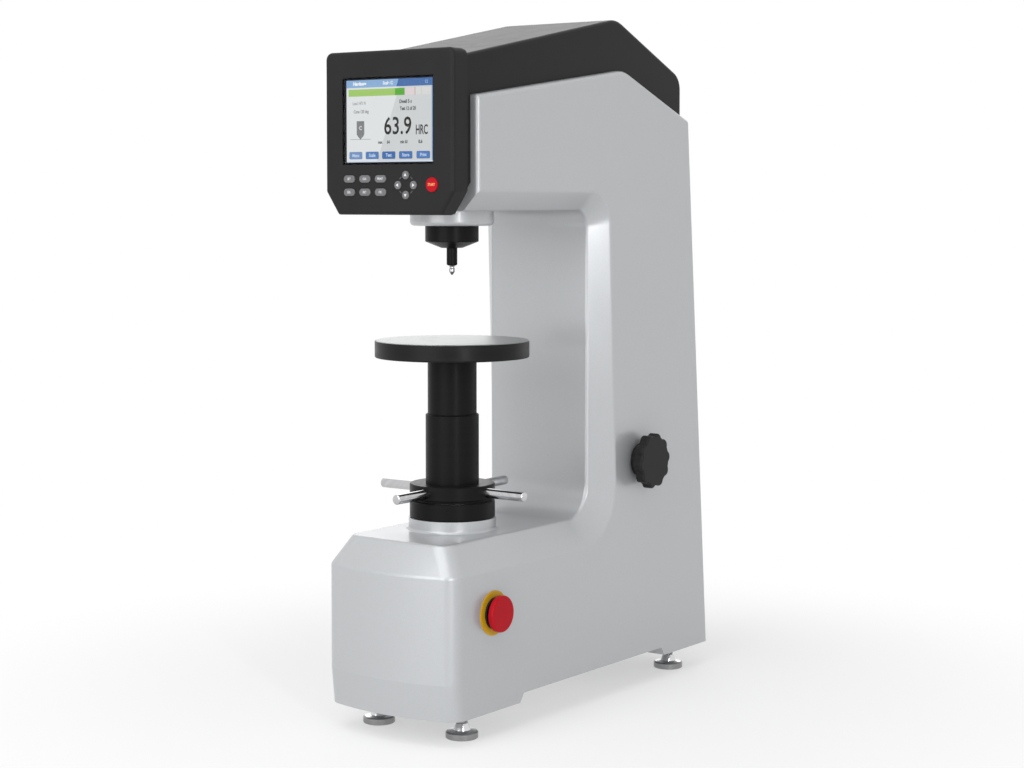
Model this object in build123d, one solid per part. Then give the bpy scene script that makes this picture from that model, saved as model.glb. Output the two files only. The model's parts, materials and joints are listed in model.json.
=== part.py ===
from build123d import *

import os
from math import atan2, cos, pi, sin, sqrt, tan

# Bench hardness tester with a C-shaped frame, in millimetres.
# While the pieces are made, the measuring axis is X = Y = 0 and the floor is Z = 0. The display
# faces -Y and the selector knob is on +X. At the end the whole is moved so that the middle of
# its footprint is at the origin.

# ---- Frame casting
frame_half_width = 77.2
inner_half_width = 59.3       # half width of the base top, column front and arm underside
frame_wall = 9.0
frame_bottom = 25.5           # underside of the foot blocks
recess_height = 8.8           # how far the underside is raised between the foot blocks
recess_front = 12.0
rear_block_length = 95.4      # from the recess to the rear foot of the column
recess_slope = 6.0            # length of the sloped ends of the recess
base_height = 162.5           # from the underside to the base top
throat_height = 309.0         # from the base top to the arm's underside
throat_depth = 145.0          # from the measuring axis to the column front
column_depth = 212.4          # from the column front to its rear foot
column_taper = 42.9           # how far the rear face leans in up to the arm's top
base_bevel_drop = 27.8        # height of the bevels beside the throat
arm_bevel_rise = 19.0
nose_reach = 109.9            # crown of the base's front face, ahead of the axis
nose_tuck, nose_tuck_height = 3.9, 34.5   # the front draws in by this much below this height
nose_crown_radius = 245.0
nose_corner_radius = 18.0
nose_top_setback = 18.9       # from the crown back to the front edge of the base top
nose_top_corner_radius = 16.0
nose_top_crown_radius = 600.0
throat_low_radius, throat_high_radius = 32.0, 18.0     # at the column front
mouth_low_radius, mouth_high_radius = 55.0, 33.0       # where the throat meets the sides
mouth_low_setback, mouth_high_setback = 29.4, 16.2     # of the sides behind the column front
arm_front = -60.0
arm_front_height = 107.5      # of the arm at its front
arm_peak_rise = 34.1          # from there to the peak of the frame's top outline
arm_peak_setback = 43.0       # of the peak behind the column front
arm_rear_drop = 47.6          # from the peak down to the rear
frame_edge_radius = 5.0       # along the sides
throat_edge_radius = 4.0      # where the base top, column front and arm underside meet the bevels

# ---- Anvil, elevating screw and handwheel
anvil_radius = 75.0
anvil_height = 184.0          # from the base top to the anvil's face
anvil_thickness = 16.6
anvil_stub_radius, anvil_stub_length = 12.45, 20.0
screw_radius = 18.0
screw_drop = 93.0             # of the screw's lower end below the base top
sleeve_radius = 23.8
sleeve_length = 121.4
guard_radius = 25.9
guard_length = 67.6
hub_radius, hub_neck_radius = 41.5, 38.0
hub_rim, hub_neck = 14.0, 2.2          # heights of the rim and of the neck under it
spoke_radius, spoke_drop = 4.75, 7.0   # drop of the spokes' axes below the hub's top
spoke_reach = 87.0
nut_radius = 28.2
nut_thread, nut_socket = 56.0, 32.8    # lengths of the threaded part and of the wide part above
ring_bore, ring_height = 36.5, 16.5
boss_radius, boss_height = 42.5, 12.0
boss_blend = 3.0
post_radius, post_height = 7.2, 126.7
post_foot_radius, post_foot_height = 16.0, 3.0
key_width, key_length_on_post = 3.0, 60.0

# ---- Measuring head
head_boss_radius, head_boss_height = 40.5, 14.4
head_boss_rounding = 4.0
cap_radius, cap_height, cap_nose = 25.9, 15.6, 5.8
bush_radius, bush_drop, bush_rise = 11.0, 27.0, 39.0   # below the arm's underside, above its floor
bush_flange_radius, bush_flange = 16.0, 4.0
spindle_radius, spindle_drop = 5.2, 17.0               # drop of its end below the cap
spindle_head = 13.0                                    # length above the bush
collar_radius, collar_thickness = 14.0, 4.0
indenter_radius, indenter_length = 2.8, 9.3
indenter_shank_radius, indenter_shank = 2.4, 12.0
sensor_length, sensor_width, sensor_height = 12.0, 20.0, 34.0
pivot_setback, pivot_radius = 32.0, 4.0                # ahead of the measuring axis
lever_half_width = 9.5
lever_root_depth, lever_tip_depth = 22.0, 14.0
lever_nose_radius = 4.0
hanger_setback = 83.0                                  # behind the column front
hanger_rod_radius = 5.0
weight_radius, weight_thickness, weight_count = 48.0, 24.0, 3
hanger_plate_radius, hanger_plate = 30.0, 6.0
cam_gap, cam_radius, cam_throw = 25.0, 15.0, 7.5       # ahead of the column front
motor_radius, motor_length = 17.0, 46.0
motor_shaft_radius = 4.0

# ---- Covers
cover_step = 9.3              # how far the cover stands in from the frame's sides
cover_wall = 3.0
cover_front_rise = 35.5       # above the front of the frame's top outline
cover_peak_rise = 51.9        # above its peak
cover_rear_rise = 45.8        # above its rear
cover_rear_setback = 2.5
cover_front_radius, cover_peak_radius, cover_rear_radius = 3.0, 35.0, 20.0
cover_edge_radius = 4.0
skirt_depth = 14.0            # how far the cover reaches down between the frame's sides
ledge_width, ledge_length, ledge_height = 8.0, 20.0, 14.0
rear_panel_gap, rear_panel_top_gap = 43.0, 21.0   # above the inlet's flange, below the rear's top
rear_panel_side_gap = 19.2
panel_thickness = 2.0
panel_rim = 8.0
screw_head_radius, screw_head_height, screw_shank_radius = 3.6, 2.2, 1.9

# ---- Display
display_half_width = 76.5
display_height, display_drop = 152.5, 3.5     # drop of its lower edge below the arm's underside
display_depth, display_back_depth, neck_depth = 18.0, 4.0, 15.0
display_chamfer_in, display_chamfer_up = 14.8, 21.7
display_corner_radius, display_edge_radius = 7.0, 3.5
display_small_radius = 3.0
display_wall, display_front_wall = 3.0, 3.5
neck_inset = 8.6
passage_width, passage_height = 90.0, 60.0
screen_width, screen_height = 105.0, 78.0
screen_x, screen_up = -1.0, 87.45            # middle of the screen, up from the display's lower edge
glass_border, glass_thickness, glass_sink = 1.6, 1.5, 0.4
lcd_border, lcd_thickness = 4.0, 6.0
key_x, key_up = -27.5, 27.3                   # middle of the block of oval keys
key_pitch_x, key_pitch_up = 18.9, 12.4
key_length, key_height = 13.5, 7.2
arrow_x, arrow_up, arrow_pitch, arrow_radius = 21.2, 27.6, 9.2, 4.0
start_x, start_up, start_radius = 51.9, 27.9, 6.8
key_stand, key_travel, key_flange, key_lip = 1.2, 0.8, 1.0, 0.7
key_rounding = 0.6
board_thickness = 1.6
board_post_radius = 2.5

# ---- Side controls
knob_setback, knob_rise = 72.3, 50.9            # behind the column front, above the base top
knob_length, knob_neck_length = 9.5, 10.5
knob_radius, knob_lobes, lobe_radius = 28.4, 10, 6.5
knob_notch = 2.6              # depth of the notches between the lobes
knob_phase = 5.4              # of the lobes, in degrees
knob_neck_radius = 17.0
knob_rounding = 2.0
selector_radius = 5.0
drum_radius, drum_length = 13.0, 28.0
estop_y, estop_rise = -37.1, 94.3               # its height above the underside
estop_ring_radius, estop_ring_thickness = 21.3, 1.0
estop_collar_radius, estop_collar_length = 15.0, 1.6
estop_head_radius, estop_head_length, estop_gap = 17.4, 5.0, 4.2
estop_head_rounding = 2.0
plunger_radius = 9.5
neck_wall = 1.5
estop_block = (30.0, 30.0, 38.0)

# ---- Rear and inside
inlet_x, inlet_rise = -30.0, 66.5             # its middle above the underside
inlet_flange_width, inlet_flange_height, inlet_flange = 33.0, 60.0, 2.0
inlet_body_width, inlet_body_height, inlet_depth = 27.0, 48.0, 30.0
socket_width, socket_height, socket_depth = 23.0, 16.0, 15.0
socket_up, rocker_up = -12.0, 13.0            # of the module's middle, along its face
pin_width, pin_height, pin_pitch, pin_offset = 2.0, 4.0, 7.0, 2.0
rocker_width, rocker_length, rocker_depth = 13.0, 18.4, 6.0
well_depth = 12.0
rocker_angle = 7.0
board_length, board_height = 110.0, 140.0
supply_width, supply_length, supply_height = 72.0, 115.0, 36.0

# ---- Feet
foot_x, foot_front_y, foot_rear_gap = 50.6, -51.7, 38.9     # gap from the rear foot to the column's rear
foot_pad_radius, foot_pad_height = 15.5, 7.0
foot_cone_radius, foot_cone_height = 7.4, 14.4
stud_radius, stud_grip = 5.0, 17.0            # length of the stud inside the base
locknut_flats, locknut_height = 16.0, 5.0

# ---- Clearances
running = 0.05                # radial, for shafts and sliding fits
loose = 0.3                   # between pieces that move past each other
seat = 0.1                    # between a fixed piece and the opening that it sits in
far = 1000.0                  # reaches past every face of the tester

# ---- Places that follow from the sizes
base_top = frame_bottom + base_height
base_shoulder = base_top - base_bevel_drop
arm_underside = base_top + throat_height
arm_shoulder = arm_underside + arm_bevel_rise
arm_front_top = arm_underside + arm_front_height
arm_peak_y, arm_peak_z = throat_depth + arm_peak_setback, arm_front_top + arm_peak_rise
rear_foot_y = throat_depth + column_depth
rear_top_y, rear_top_z = rear_foot_y - column_taper, arm_peak_z - arm_rear_drop
recess_ceiling, recess_rear = frame_bottom + recess_height, rear_foot_y - rear_block_length
cavity_floor = recess_ceiling + frame_wall
arm_floor = arm_underside + frame_wall
inner_side = frame_half_width - frame_wall
bevel_width = frame_half_width - inner_half_width
base_bevel = atan2(bevel_width, base_bevel_drop)
arm_bevel = atan2(bevel_width, arm_bevel_rise)
wall_bevel = atan2(bevel_width, (mouth_low_setback + mouth_high_setback) / 2)
rear_lean = atan2(column_taper, rear_top_z - frame_bottom)
arm_rise = arm_peak_rise / (arm_peak_y - arm_front)
arm_fall = -arm_rear_drop / (rear_top_y - arm_peak_y)

anvil_top = base_top + anvil_height
anvil_underside = anvil_top - anvil_thickness
boss_top = base_top + boss_height
hub_bottom = boss_top + ring_height + loose
hub_top = hub_bottom + hub_neck + hub_rim
guard_top = hub_top + guard_length
post_top = cavity_floor + post_height

head_boss_bottom = arm_underside - head_boss_height
cap_bottom = head_boss_bottom - cap_height - cap_nose
bush_bottom, bush_top = arm_underside - bush_drop, arm_floor + bush_rise
spindle_bottom, spindle_top = cap_bottom - spindle_drop, bush_top + spindle_head
pivot_y, pivot_z = -pivot_setback, spindle_top + seat + lever_nose_radius + lever_root_depth / 2
knob_y, knob_z = throat_depth + knob_setback, base_top + knob_rise
knob_back = frame_half_width + knob_neck_length
knob_face = knob_back + knob_length
knob_bore_end = knob_back + knob_length / 2
hanger_y = throat_depth + hanger_setback
lever_end = hanger_y + 22
weight_bottom = knob_z + drum_radius + 2 * hanger_plate
cam_y = throat_depth - cam_gap
lever_root_y = lever_half_width + 3
estop_z = frame_bottom + estop_rise
estop_face = frame_half_width + estop_ring_thickness
inlet_z = frame_bottom + inlet_rise
rear_panel_low = inlet_z + inlet_flange_height / 2 + rear_panel_gap
rear_panel_high = rear_top_z - rear_panel_top_gap
rear_panel_half_width = frame_half_width - rear_panel_side_gap
cover_half_width = frame_half_width - cover_step
cover_front_y = arm_front - neck_depth

display_seam = arm_front - neck_depth - display_back_depth
display_face = display_seam - display_depth
display_bottom = arm_underside - display_drop
display_top = display_bottom + display_height
screen_z = display_bottom + screen_up
panel_inner = display_face + display_front_wall
board_front = panel_inner + key_flange + key_travel + seat

nodes = {}


def yz_face(points, radii, x=0.0):
    # closed outline seen from the side, each corner rounded by its own radius
    return Plane.YZ.offset(x) * make_face(FilletPolyline(*points, radius=radii, close=True))


def across(points, radii, half_width):
    # prism of a side outline, the same to both sides of the middle plane
    return extrude(yz_face(points, radii), half_width, both=True)


def turned(points, axis_location=Location()):
    # solid of revolution about Z from (radius, height) points
    return axis_location * revolve(Plane.XZ * make_face(Polyline(*points, close=True)), Axis.Z)


def block(x0, x1, y0, y1, z0, z1):
    return Pos((x0 + x1) / 2, (y0 + y1) / 2, (z0 + z1) / 2) * Box(x1 - x0, y1 - y0, z1 - z0)


def rod_z(radius, z0, z1, x=0.0, y=0.0):
    return Pos(x, y, (z0 + z1) / 2) * Cylinder(radius, z1 - z0)


def rod_x(radius, x0, x1, y, z):
    return Pos((x0 + x1) / 2, y, z) * Rot(0, 90, 0) * Cylinder(radius, x1 - x0)


def rear_y(z):
    return rear_foot_y - (z - frame_bottom) * tan(rear_lean)


def rear_plane(x, z):
    # on the leaning rear face: local X to the tester's left, Y up the face and Z outwards
    return Plane(origin=(x, rear_y(z), z), x_dir=(-1, 0, 0), z_dir=(0, cos(rear_lean), sin(rear_lean)))


def bodies_of(shape):
    return list(shape.solids())


# ================= frame casting

def plan_outline(reach, half_width, crown_radius, corner_radius, z):
    # the base seen from above, from its crowned front back to the measuring axis
    sag = crown_radius - sqrt(crown_radius**2 - half_width**2)
    left, right = (-half_width, sag - reach), (half_width, sag - reach)
    crown = ThreePointArc(left, (0, -reach), right)
    sides = Polyline(right, (half_width, 0), (-half_width, 0), left)
    face = make_face(crown.edges() + sides.edges())
    front_corners = face.vertices().group_by(Axis.Y)[0]
    return Pos(0, 0, z) * fillet(front_corners, corner_radius)


def base_nose(inset):
    # front of the base: drawn in at the floor, straight, then bevelled up to the base top
    reach = nose_reach - inset
    half_width = frame_half_width - inset
    corner = nose_corner_radius - inset
    low = cavity_floor if inset else frame_bottom
    top_half = inner_half_width - inset * tan((pi / 2 - base_bevel) / 2)
    return loft(
        [
            plan_outline(reach - nose_tuck, half_width, nose_crown_radius, corner, low),
            plan_outline(reach, half_width, nose_crown_radius, corner,
                         frame_bottom + nose_tuck_height),
            plan_outline(reach, half_width, nose_crown_radius, corner,
                         base_shoulder - inset * tan(base_bevel / 2)),
            plan_outline(nose_reach - nose_top_setback - inset, top_half, nose_top_crown_radius,
                         nose_top_corner_radius, base_top - inset),
        ],
        ruled=True,
    )


def throat_outline(low_y, high_y, low_z, high_z, low_radius, high_radius, x):
    ahead = -2 * nose_reach
    points = [(ahead, low_z), (low_y, low_z), (high_y, high_z), (ahead, high_z)]
    return yz_face(points, [0, low_radius, high_radius, 0], x)


def throat(grow):
    # the open C: a straight middle that flares out to both side faces
    middle_half = inner_half_width - grow * tan((pi / 2 - base_bevel) / 2)
    inner = throat_outline(throat_depth + grow, throat_depth + grow, base_top - grow,
                           arm_underside + grow, throat_low_radius + grow,
                           throat_high_radius + grow, middle_half)
    back = grow * tan(wall_bevel / 2)
    outer = throat_outline(throat_depth + mouth_low_setback + back, throat_depth + mouth_high_setback + back,
                           base_shoulder - grow * tan(base_bevel / 2),
                           arm_shoulder + grow * tan(arm_bevel / 2),
                           mouth_low_radius, mouth_high_radius, frame_half_width - grow)
    flare = loft([inner, outer], ruled=True) + extrude(outer, frame_wall)
    return extrude(inner, -2 * middle_half) + flare + mirror(flare, Plane.YZ)


def frame_form(inset):
    # the C-frame without its hollow, or with an inset the hollow itself
    if inset:
        underside = [(arm_front, recess_ceiling), (rear_y(recess_ceiling), recess_ceiling)]
        radii = [0, 0]
    else:
        underside = [
            (arm_front, frame_bottom),
            (recess_front - recess_slope, frame_bottom),
            (recess_front, recess_ceiling),
            (recess_rear, recess_ceiling),
            (recess_rear + recess_slope, frame_bottom),
            (rear_foot_y, frame_bottom),
        ]
        radii = [0] * 6
    upper = [(rear_top_y, rear_top_z), (arm_peak_y, arm_peak_z), (arm_front, arm_front_top)]
    rounding = [0, 0, 0] if inset else [3, 40, 5]
    side = yz_face(underside + upper, radii + rounding)
    if inset:
        side = offset(side, -inset, kind=Kind.INTERSECTION)
    form = extrude(side, frame_half_width - inset, both=True)
    form -= block(-far, far, -far, 0, 0, (base_top + arm_underside) / 2)
    return form + base_nose(inset) - throat(inset)


def long_edges(form, half_width, low, high):
    # edges that run along both planes at this half width, between two heights
    picked = ShapeList()
    for side in (-half_width, half_width):
        ends = form.edges().filter_by_position(Axis.X, side - 0.01, side + 0.01)
        picked += ends.filter_by(lambda e: low < e.center().Z < high and e.length > 2)
    return picked


def soften(form):
    # rounds the edges of the side faces above the skirt, then those of the throat
    form = fillet(long_edges(form, frame_half_width, base_shoulder - 1, far), frame_edge_radius)
    return fillet(long_edges(form, inner_half_width, base_shoulder, arm_shoulder), throat_edge_radius)


def skirt_line(y):
    # height of the cover's lower edge inside the frame's sides
    rise = arm_rise if y < arm_peak_y else arm_fall
    return arm_peak_z + (y - arm_peak_y) * rise - skirt_depth


def frame_casting():
    outer = soften(frame_form(0))
    roof = [
        (arm_front + frame_wall, arm_floor + 40), (rear_top_y - frame_wall + 1, arm_floor + 40),
        (rear_top_y - frame_wall + 1, far), (arm_front + frame_wall, far),
    ]
    casting = outer - frame_form(frame_wall) - across(roof, [0] * 4, inner_side)
    casting += head_boss() + base_boss()
    casting += rod_x(1.6 * drum_radius, inner_side - drum_radius, inner_side + 1, knob_y, knob_z)
    for y in (arm_front + 30, rear_top_y - 60):
        ledge = cover_ledge(y)
        casting += ledge + mirror(ledge, Plane.YZ)
    casting -= rod_z(bush_radius, head_boss_bottom - 1, arm_floor + 1)
    casting -= rod_z(nut_radius + loose, base_top - 2 * frame_wall, boss_top + 1)
    casting -= rod_x(selector_radius + running, 0, far, knob_y, knob_z)
    casting -= rod_x(plunger_radius + neck_wall, 0, far, estop_y, estop_z)
    front, rear, half_width = bottom_opening()
    casting -= block(-half_width, half_width, front, rear, recess_ceiling - 1, cavity_floor + 1)
    casting -= rear_panel_recess()
    casting -= inlet_opening()
    for x, y in foot_places():
        casting -= rod_z(stud_radius + running, 0, cavity_floor + 1, x, y)
    return casting


def cover_ledge(y):
    # lug inside the right wall, cut off along the cover's lower edge, which it carries
    half = ledge_length / 2
    ledge = block(inner_side - ledge_width, inner_side + 1, y - half, y + half, skirt_line(y) - ledge_height,
                  skirt_line(y) + ledge_height)
    above = [(y - ledge_length, skirt_line(y - ledge_length)), (y + ledge_length, skirt_line(y + ledge_length)),
             (y + ledge_length, far), (y - ledge_length, far)]
    return ledge - across(above, [0] * 4, far)


def base_boss():
    # cast seat of the bearing ring, blended into the base top
    foot = boss_radius + boss_blend
    curve = RadiusArc((foot, base_top), (boss_radius, base_top + boss_blend), boss_blend)
    low = Polyline((0, base_top - 1), (foot, base_top - 1), (foot, base_top))
    high = Polyline((boss_radius, base_top + boss_blend), (boss_radius, boss_top), (0, boss_top), (0, base_top - 1))
    return revolve(Plane.XZ * make_face(low.edges() + curve.edges() + high.edges()), Axis.Z)


def head_boss():
    body = rod_z(head_boss_radius, head_boss_bottom, arm_underside + 1)
    return fillet(body.edges().group_by(Axis.Z)[0], head_boss_rounding)


def bottom_opening():
    # front, rear and half width of the opening that the bottom plate closes
    return recess_front + 20, (recess_front + 3 * recess_rear) / 4, inner_half_width - 6


def foot_places():
    return [(x, y) for y in (foot_front_y, rear_foot_y - foot_rear_gap) for x in (-foot_x, foot_x)]


# ================= covers

def rear_panel_middle():
    return (rear_panel_low + rear_panel_high) / 2, (rear_panel_high - rear_panel_low) / cos(rear_lean)


def rear_panel_recess():
    # shallow seat for the panel, and the opening that it closes
    middle, height = rear_panel_middle()
    plane = rear_plane(0, middle)
    width = 2 * rear_panel_half_width
    shelf = extrude(plane * Rectangle(width + 2 * seat, height + 2 * seat), -panel_thickness)
    opening = extrude(plane * Rectangle(width - 4 * panel_rim, height - 4 * panel_rim), -3 * frame_wall)
    return shelf + opening


def rear_panel_holes():
    middle, height = rear_panel_middle()
    spots = GridLocations(2 * (rear_panel_half_width - panel_rim), (height - 2 * panel_rim) / 2, 2, 3)
    return rear_plane(0, middle), spots


def rear_cover():
    middle, height = rear_panel_middle()
    plane, spots = rear_panel_holes()
    panel = extrude(plane * RectangleRounded(2 * rear_panel_half_width, height, 3), -panel_thickness)
    holes = [plane * spot * Pos(0, 0, -panel_thickness / 2) * Cylinder(screw_shank_radius, 2 * panel_thickness)
             for spot in spots]
    return panel - holes


def rear_cover_screws():
    plane, spots = rear_panel_holes()
    head = Pos(0, 0, screw_head_height / 2) * Cylinder(screw_head_radius, screw_head_height)
    shank = Pos(0, 0, -panel_thickness / 2) * Cylinder(screw_shank_radius, panel_thickness)
    return Compound([plane * spot * (head + shank) for spot in spots])


def cover_form(inset, bottom):
    # the cover's outer form, or with an inset its inner one
    rear_y = rear_top_y - cover_rear_setback
    outline = [
        (cover_front_y + inset, bottom),
        (rear_y - inset, bottom),
        (rear_y - inset, rear_top_z + cover_rear_rise - inset),
        (arm_peak_y, arm_peak_z + cover_peak_rise - inset),
        (cover_front_y + inset, arm_front_top + cover_front_rise - inset),
    ]
    return across(outline, [0, 0, cover_rear_radius, cover_peak_radius, cover_front_radius],
                  cover_half_width - inset)


def top_cover():
    low = arm_floor
    outer = cover_form(0, low)
    long_edges = ShapeList()
    for side in (-cover_half_width, cover_half_width):
        face_edges = outer.edges().filter_by_position(Axis.X, side - 0.01, side + 0.01)
        long_edges += face_edges.filter_by(lambda e: e.center().Z > low + 1)
    outer = fillet(long_edges, cover_edge_radius)
    hollow = cover_form(cover_wall, low - 1)
    front, rear = arm_front + frame_wall + seat, rear_top_y - frame_wall - 1
    trim = [
        (-far, 0), (-far, arm_front_top + seat), (arm_front, arm_front_top + seat),
        (front, skirt_line(front) + skirt_depth + seat), (front, skirt_line(front) + seat),
        (arm_peak_y, skirt_line(arm_peak_y) + seat), (rear, skirt_line(rear) + seat),
        (rear, rear_top_z + 4), (far, rear_top_z + 4), (far, 0),
    ]
    return outer - hollow - across(trim, [0] * len(trim), far)


def bottom_plate():
    front, rear, half_width = bottom_opening()
    plate = block(-half_width - panel_rim, half_width + panel_rim, front - panel_rim, rear + panel_rim,
                  recess_ceiling - panel_thickness, recess_ceiling)
    return fillet(plate.edges().filter_by(Axis.Z), 4)


# ================= display

def display_outline(inset, radius):
    half = display_half_width - inset
    low, high = display_bottom + inset, display_top - inset
    points = [
        (half - display_chamfer_in, low), (half, low + display_chamfer_up), (half, high), (-half, high),
        (-half, low + display_chamfer_up), (-half + display_chamfer_in, low),
    ]
    small = display_small_radius
    return make_face(FilletPolyline(*points, radius=[small, small, radius, radius, small, small], close=True))


def facing(y):
    # upright plane across the tester, its normal towards the user, local X to the right
    return Plane(origin=(0, y, 0), x_dir=(1, 0, 0), z_dir=(0, -1, 0))


def key_shapes(grow=0.0):
    # every key's outline on the panel, by name
    shapes = {}
    oval = SlotOverall(key_length + 2 * grow, key_height + 2 * grow)
    for number in range(6):
        row, column = divmod(number, 3)
        place = Pos(key_x + (column - 1) * key_pitch_x, display_bottom + key_up + (0.5 - row) * key_pitch_up)
        shapes[f"key_{number + 1}"] = place * oval
    arrows = {"key_up": (0, 1), "key_down": (0, -1), "key_left": (-1, 0), "key_right": (1, 0)}
    for name, (dx, dz) in arrows.items():
        place = Pos(arrow_x + dx * arrow_pitch, display_bottom + arrow_up + dz * arrow_pitch)
        shapes[name] = place * Circle(arrow_radius + grow)
    shapes["start_key"] = Pos(start_x, display_bottom + start_up) * Circle(start_radius + grow)
    return shapes


def screen_area(border):
    return Pos(screen_x, screen_z) * Rectangle(screen_width + 2 * border, screen_height + 2 * border)


def board_outline():
    # between the screen and the display's lower edge, clear of the screen's frame
    low = display_bottom + display_wall + 2
    high = screen_z - screen_height / 2 - lcd_border - 2
    board = Pos(0, (low + high) / 2) * Rectangle(2 * display_half_width - 20, high - low)
    return board & display_outline(display_wall + 1, 2)


def board_posts():
    # three above and three below, beside the keys
    high = display_bottom + key_up + key_pitch_up / 2 + 4.5
    low = display_bottom + key_up - key_pitch_up / 2 - 10.5
    middle = (arrow_x - arrow_pitch + key_x + key_pitch_x) / 2
    return [(-62, high), (middle, high), (62, high), (-52, low), (middle, low), (52, low)]


def display_housing():
    depth = display_depth
    shell = extrude(facing(display_seam) * display_outline(0, display_corner_radius), depth)
    shell = fillet(shell.faces().sort_by(Axis.Y)[0].edges(), display_edge_radius)
    inner = display_outline(display_wall, display_corner_radius - display_wall)
    shell -= extrude(facing(display_seam + 1) * inner, depth + 1 - display_front_wall)
    shell -= extrude(facing(display_seam) * screen_area(0), depth + 1)
    shell -= extrude(facing(display_face + glass_sink + glass_thickness) * screen_area(glass_border), far)
    for shape in key_shapes(seat).values():
        shell -= extrude(facing(display_seam) * shape, depth + 1)
    for x, z in board_posts():
        shell += extrude(facing(board_front) * Pos(x, z) * Circle(board_post_radius), board_front - panel_inner)
    return shell


def display_back():
    # rear shell of the display with the neck that carries it on the arm
    plate = extrude(facing(cover_front_y) * display_outline(0.6, display_corner_radius), display_back_depth)
    below = block(-far, far, -far, far, 0, arm_front_top)
    neck = extrude(facing(arm_front) * display_outline(neck_inset, display_corner_radius), neck_depth) & below
    middle = (display_bottom + neck_inset + arm_front_top) / 2
    passage = extrude(facing(arm_front + 1) * Pos(0, middle) * RectangleRounded(passage_width, passage_height, 5),
                      neck_depth + display_back_depth + 2)
    return plate + neck - passage


def screen_glass():
    return extrude(facing(display_face + glass_sink + glass_thickness) * screen_area(glass_border - seat),
                   glass_thickness)


def lcd_module():
    return extrude(facing(panel_inner + lcd_thickness) * screen_area(lcd_border), lcd_thickness)


def key_board():
    return extrude(facing(board_front + board_thickness) * board_outline(), board_thickness)


def panel_key(name):
    # a key cap that stands out of the panel, with the flange that holds it in behind
    cap = extrude(facing(panel_inner) * key_shapes(-seat)[name], display_front_wall + key_stand)
    cap = fillet(cap.faces().sort_by(Axis.Y)[0].edges(), key_rounding)
    flange = extrude(facing(panel_inner + key_flange) * key_shapes(key_lip)[name], key_flange)
    return cap + flange


# ================= elevating gear

def anvil():
    disc = rod_z(anvil_radius, anvil_underside, anvil_top)
    disc = fillet(disc.edges(), 1.5)
    return disc + rod_z(anvil_stub_radius, anvil_underside - anvil_stub_length, anvil_underside + 1)


def elevating_screw():
    # plain screw body: blind bore for the anvil's stub above, keyed guide bore below
    screw_bottom = base_top - screw_drop
    body = rod_z(screw_radius, screw_bottom, anvil_underside)
    body = chamfer(body.edges().group_by(Axis.Z)[0], 1.5)
    guide_top = post_top + (anvil_underside - guard_top)
    body -= rod_z(post_radius + loose, screw_bottom - 1, guide_top)
    body -= block(-key_width / 2 - loose, key_width / 2 + loose, 0, post_radius + key_width + loose,
                  screw_bottom - 1, guide_top)
    return body - rod_z(anvil_stub_radius + running, anvil_underside - anvil_stub_length - 1, anvil_top)


def screw_sleeve():
    tube = rod_z(sleeve_radius, anvil_underside - sleeve_length, anvil_underside)
    return tube - rod_z(screw_radius, base_top, anvil_top)


def guard_tube():
    tube = rod_z(guard_radius, hub_top, guard_top)
    tube -= rod_z(sleeve_radius + loose, hub_top - 1, guard_top + 1)
    return chamfer(tube.edges().filter_by(GeomType.CIRCLE).sort_by(SortBy.RADIUS)[-2:].sort_by(Axis.Z)[-1], 1.0)


def handwheel_hub():
    bore = sleeve_radius + 2 * loose
    rim_bottom = hub_bottom + hub_neck
    body = turned([
        (bore, hub_bottom), (hub_neck_radius, hub_bottom), (hub_neck_radius, rim_bottom),
        (hub_radius - 1, rim_bottom), (hub_radius, rim_bottom + 1), (hub_radius, hub_top - 1),
        (hub_radius - 1, hub_top), (bore, hub_top),
    ])
    for turn in range(4):
        body -= Rot(0, 0, 90 * turn) * rod_x(spoke_radius, spoke_seat(), far, 0, hub_top - spoke_drop)
    return body


def spoke_seat():
    return (hub_radius + guard_radius) / 2


def handwheel_spokes():
    spoke = rod_x(spoke_radius, spoke_seat(), spoke_reach, 0, hub_top - spoke_drop)
    spoke = fillet(spoke.edges().group_by(Axis.X)[-1], 1.5)
    return Compound([Rot(0, 0, 90 * turn) * spoke for turn in range(4)])


def elevating_nut():
    wide = sleeve_radius + 2 * loose
    nut_shoulder = hub_bottom - nut_socket
    nut_bottom = nut_shoulder - nut_thread
    return turned([
        (screw_radius + running, nut_bottom), (nut_radius - 3, nut_bottom), (nut_radius, nut_bottom + 3),
        (nut_radius, hub_bottom), (wide, hub_bottom), (wide, nut_shoulder), (screw_radius + running, nut_shoulder),
    ])


def bearing_ring():
    return turned([
        (ring_bore, boss_top), (hub_radius - 1, boss_top), (hub_radius, boss_top + 1),
        (hub_radius, hub_bottom - loose - 1), (hub_radius - 1, hub_bottom - loose), (ring_bore, hub_bottom - loose),
    ])


def thrust_bearing():
    # two washers with the ball cage between them, around the nut
    inner, outer = nut_radius + loose, ring_bore
    high = hub_bottom - seat
    washer = (high - boss_top) / 3
    low_race = turned([(inner, boss_top), (outer, boss_top), (outer, boss_top + washer), (inner, boss_top + washer)])
    high_race = turned([(inner, high - washer), (outer - loose, high - washer), (outer - loose, high), (inner, high)])
    cage = turned([(inner + 1, boss_top + washer), (outer - 1, boss_top + washer), (outer - 1, high - washer),
                   (inner + 1, high - washer)])
    return Compound([low_race, cage, high_race])


def guide_post():
    # keyed post that keeps the screw from turning
    foot = rod_z(post_foot_radius, cavity_floor, cavity_floor + post_foot_height)
    post = rod_z(post_radius, cavity_floor, post_top)
    key = block(-key_width / 2, key_width / 2, 0, post_radius + key_width, post_top - key_length_on_post, post_top)
    return foot + post + key


# ================= measuring head

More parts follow.
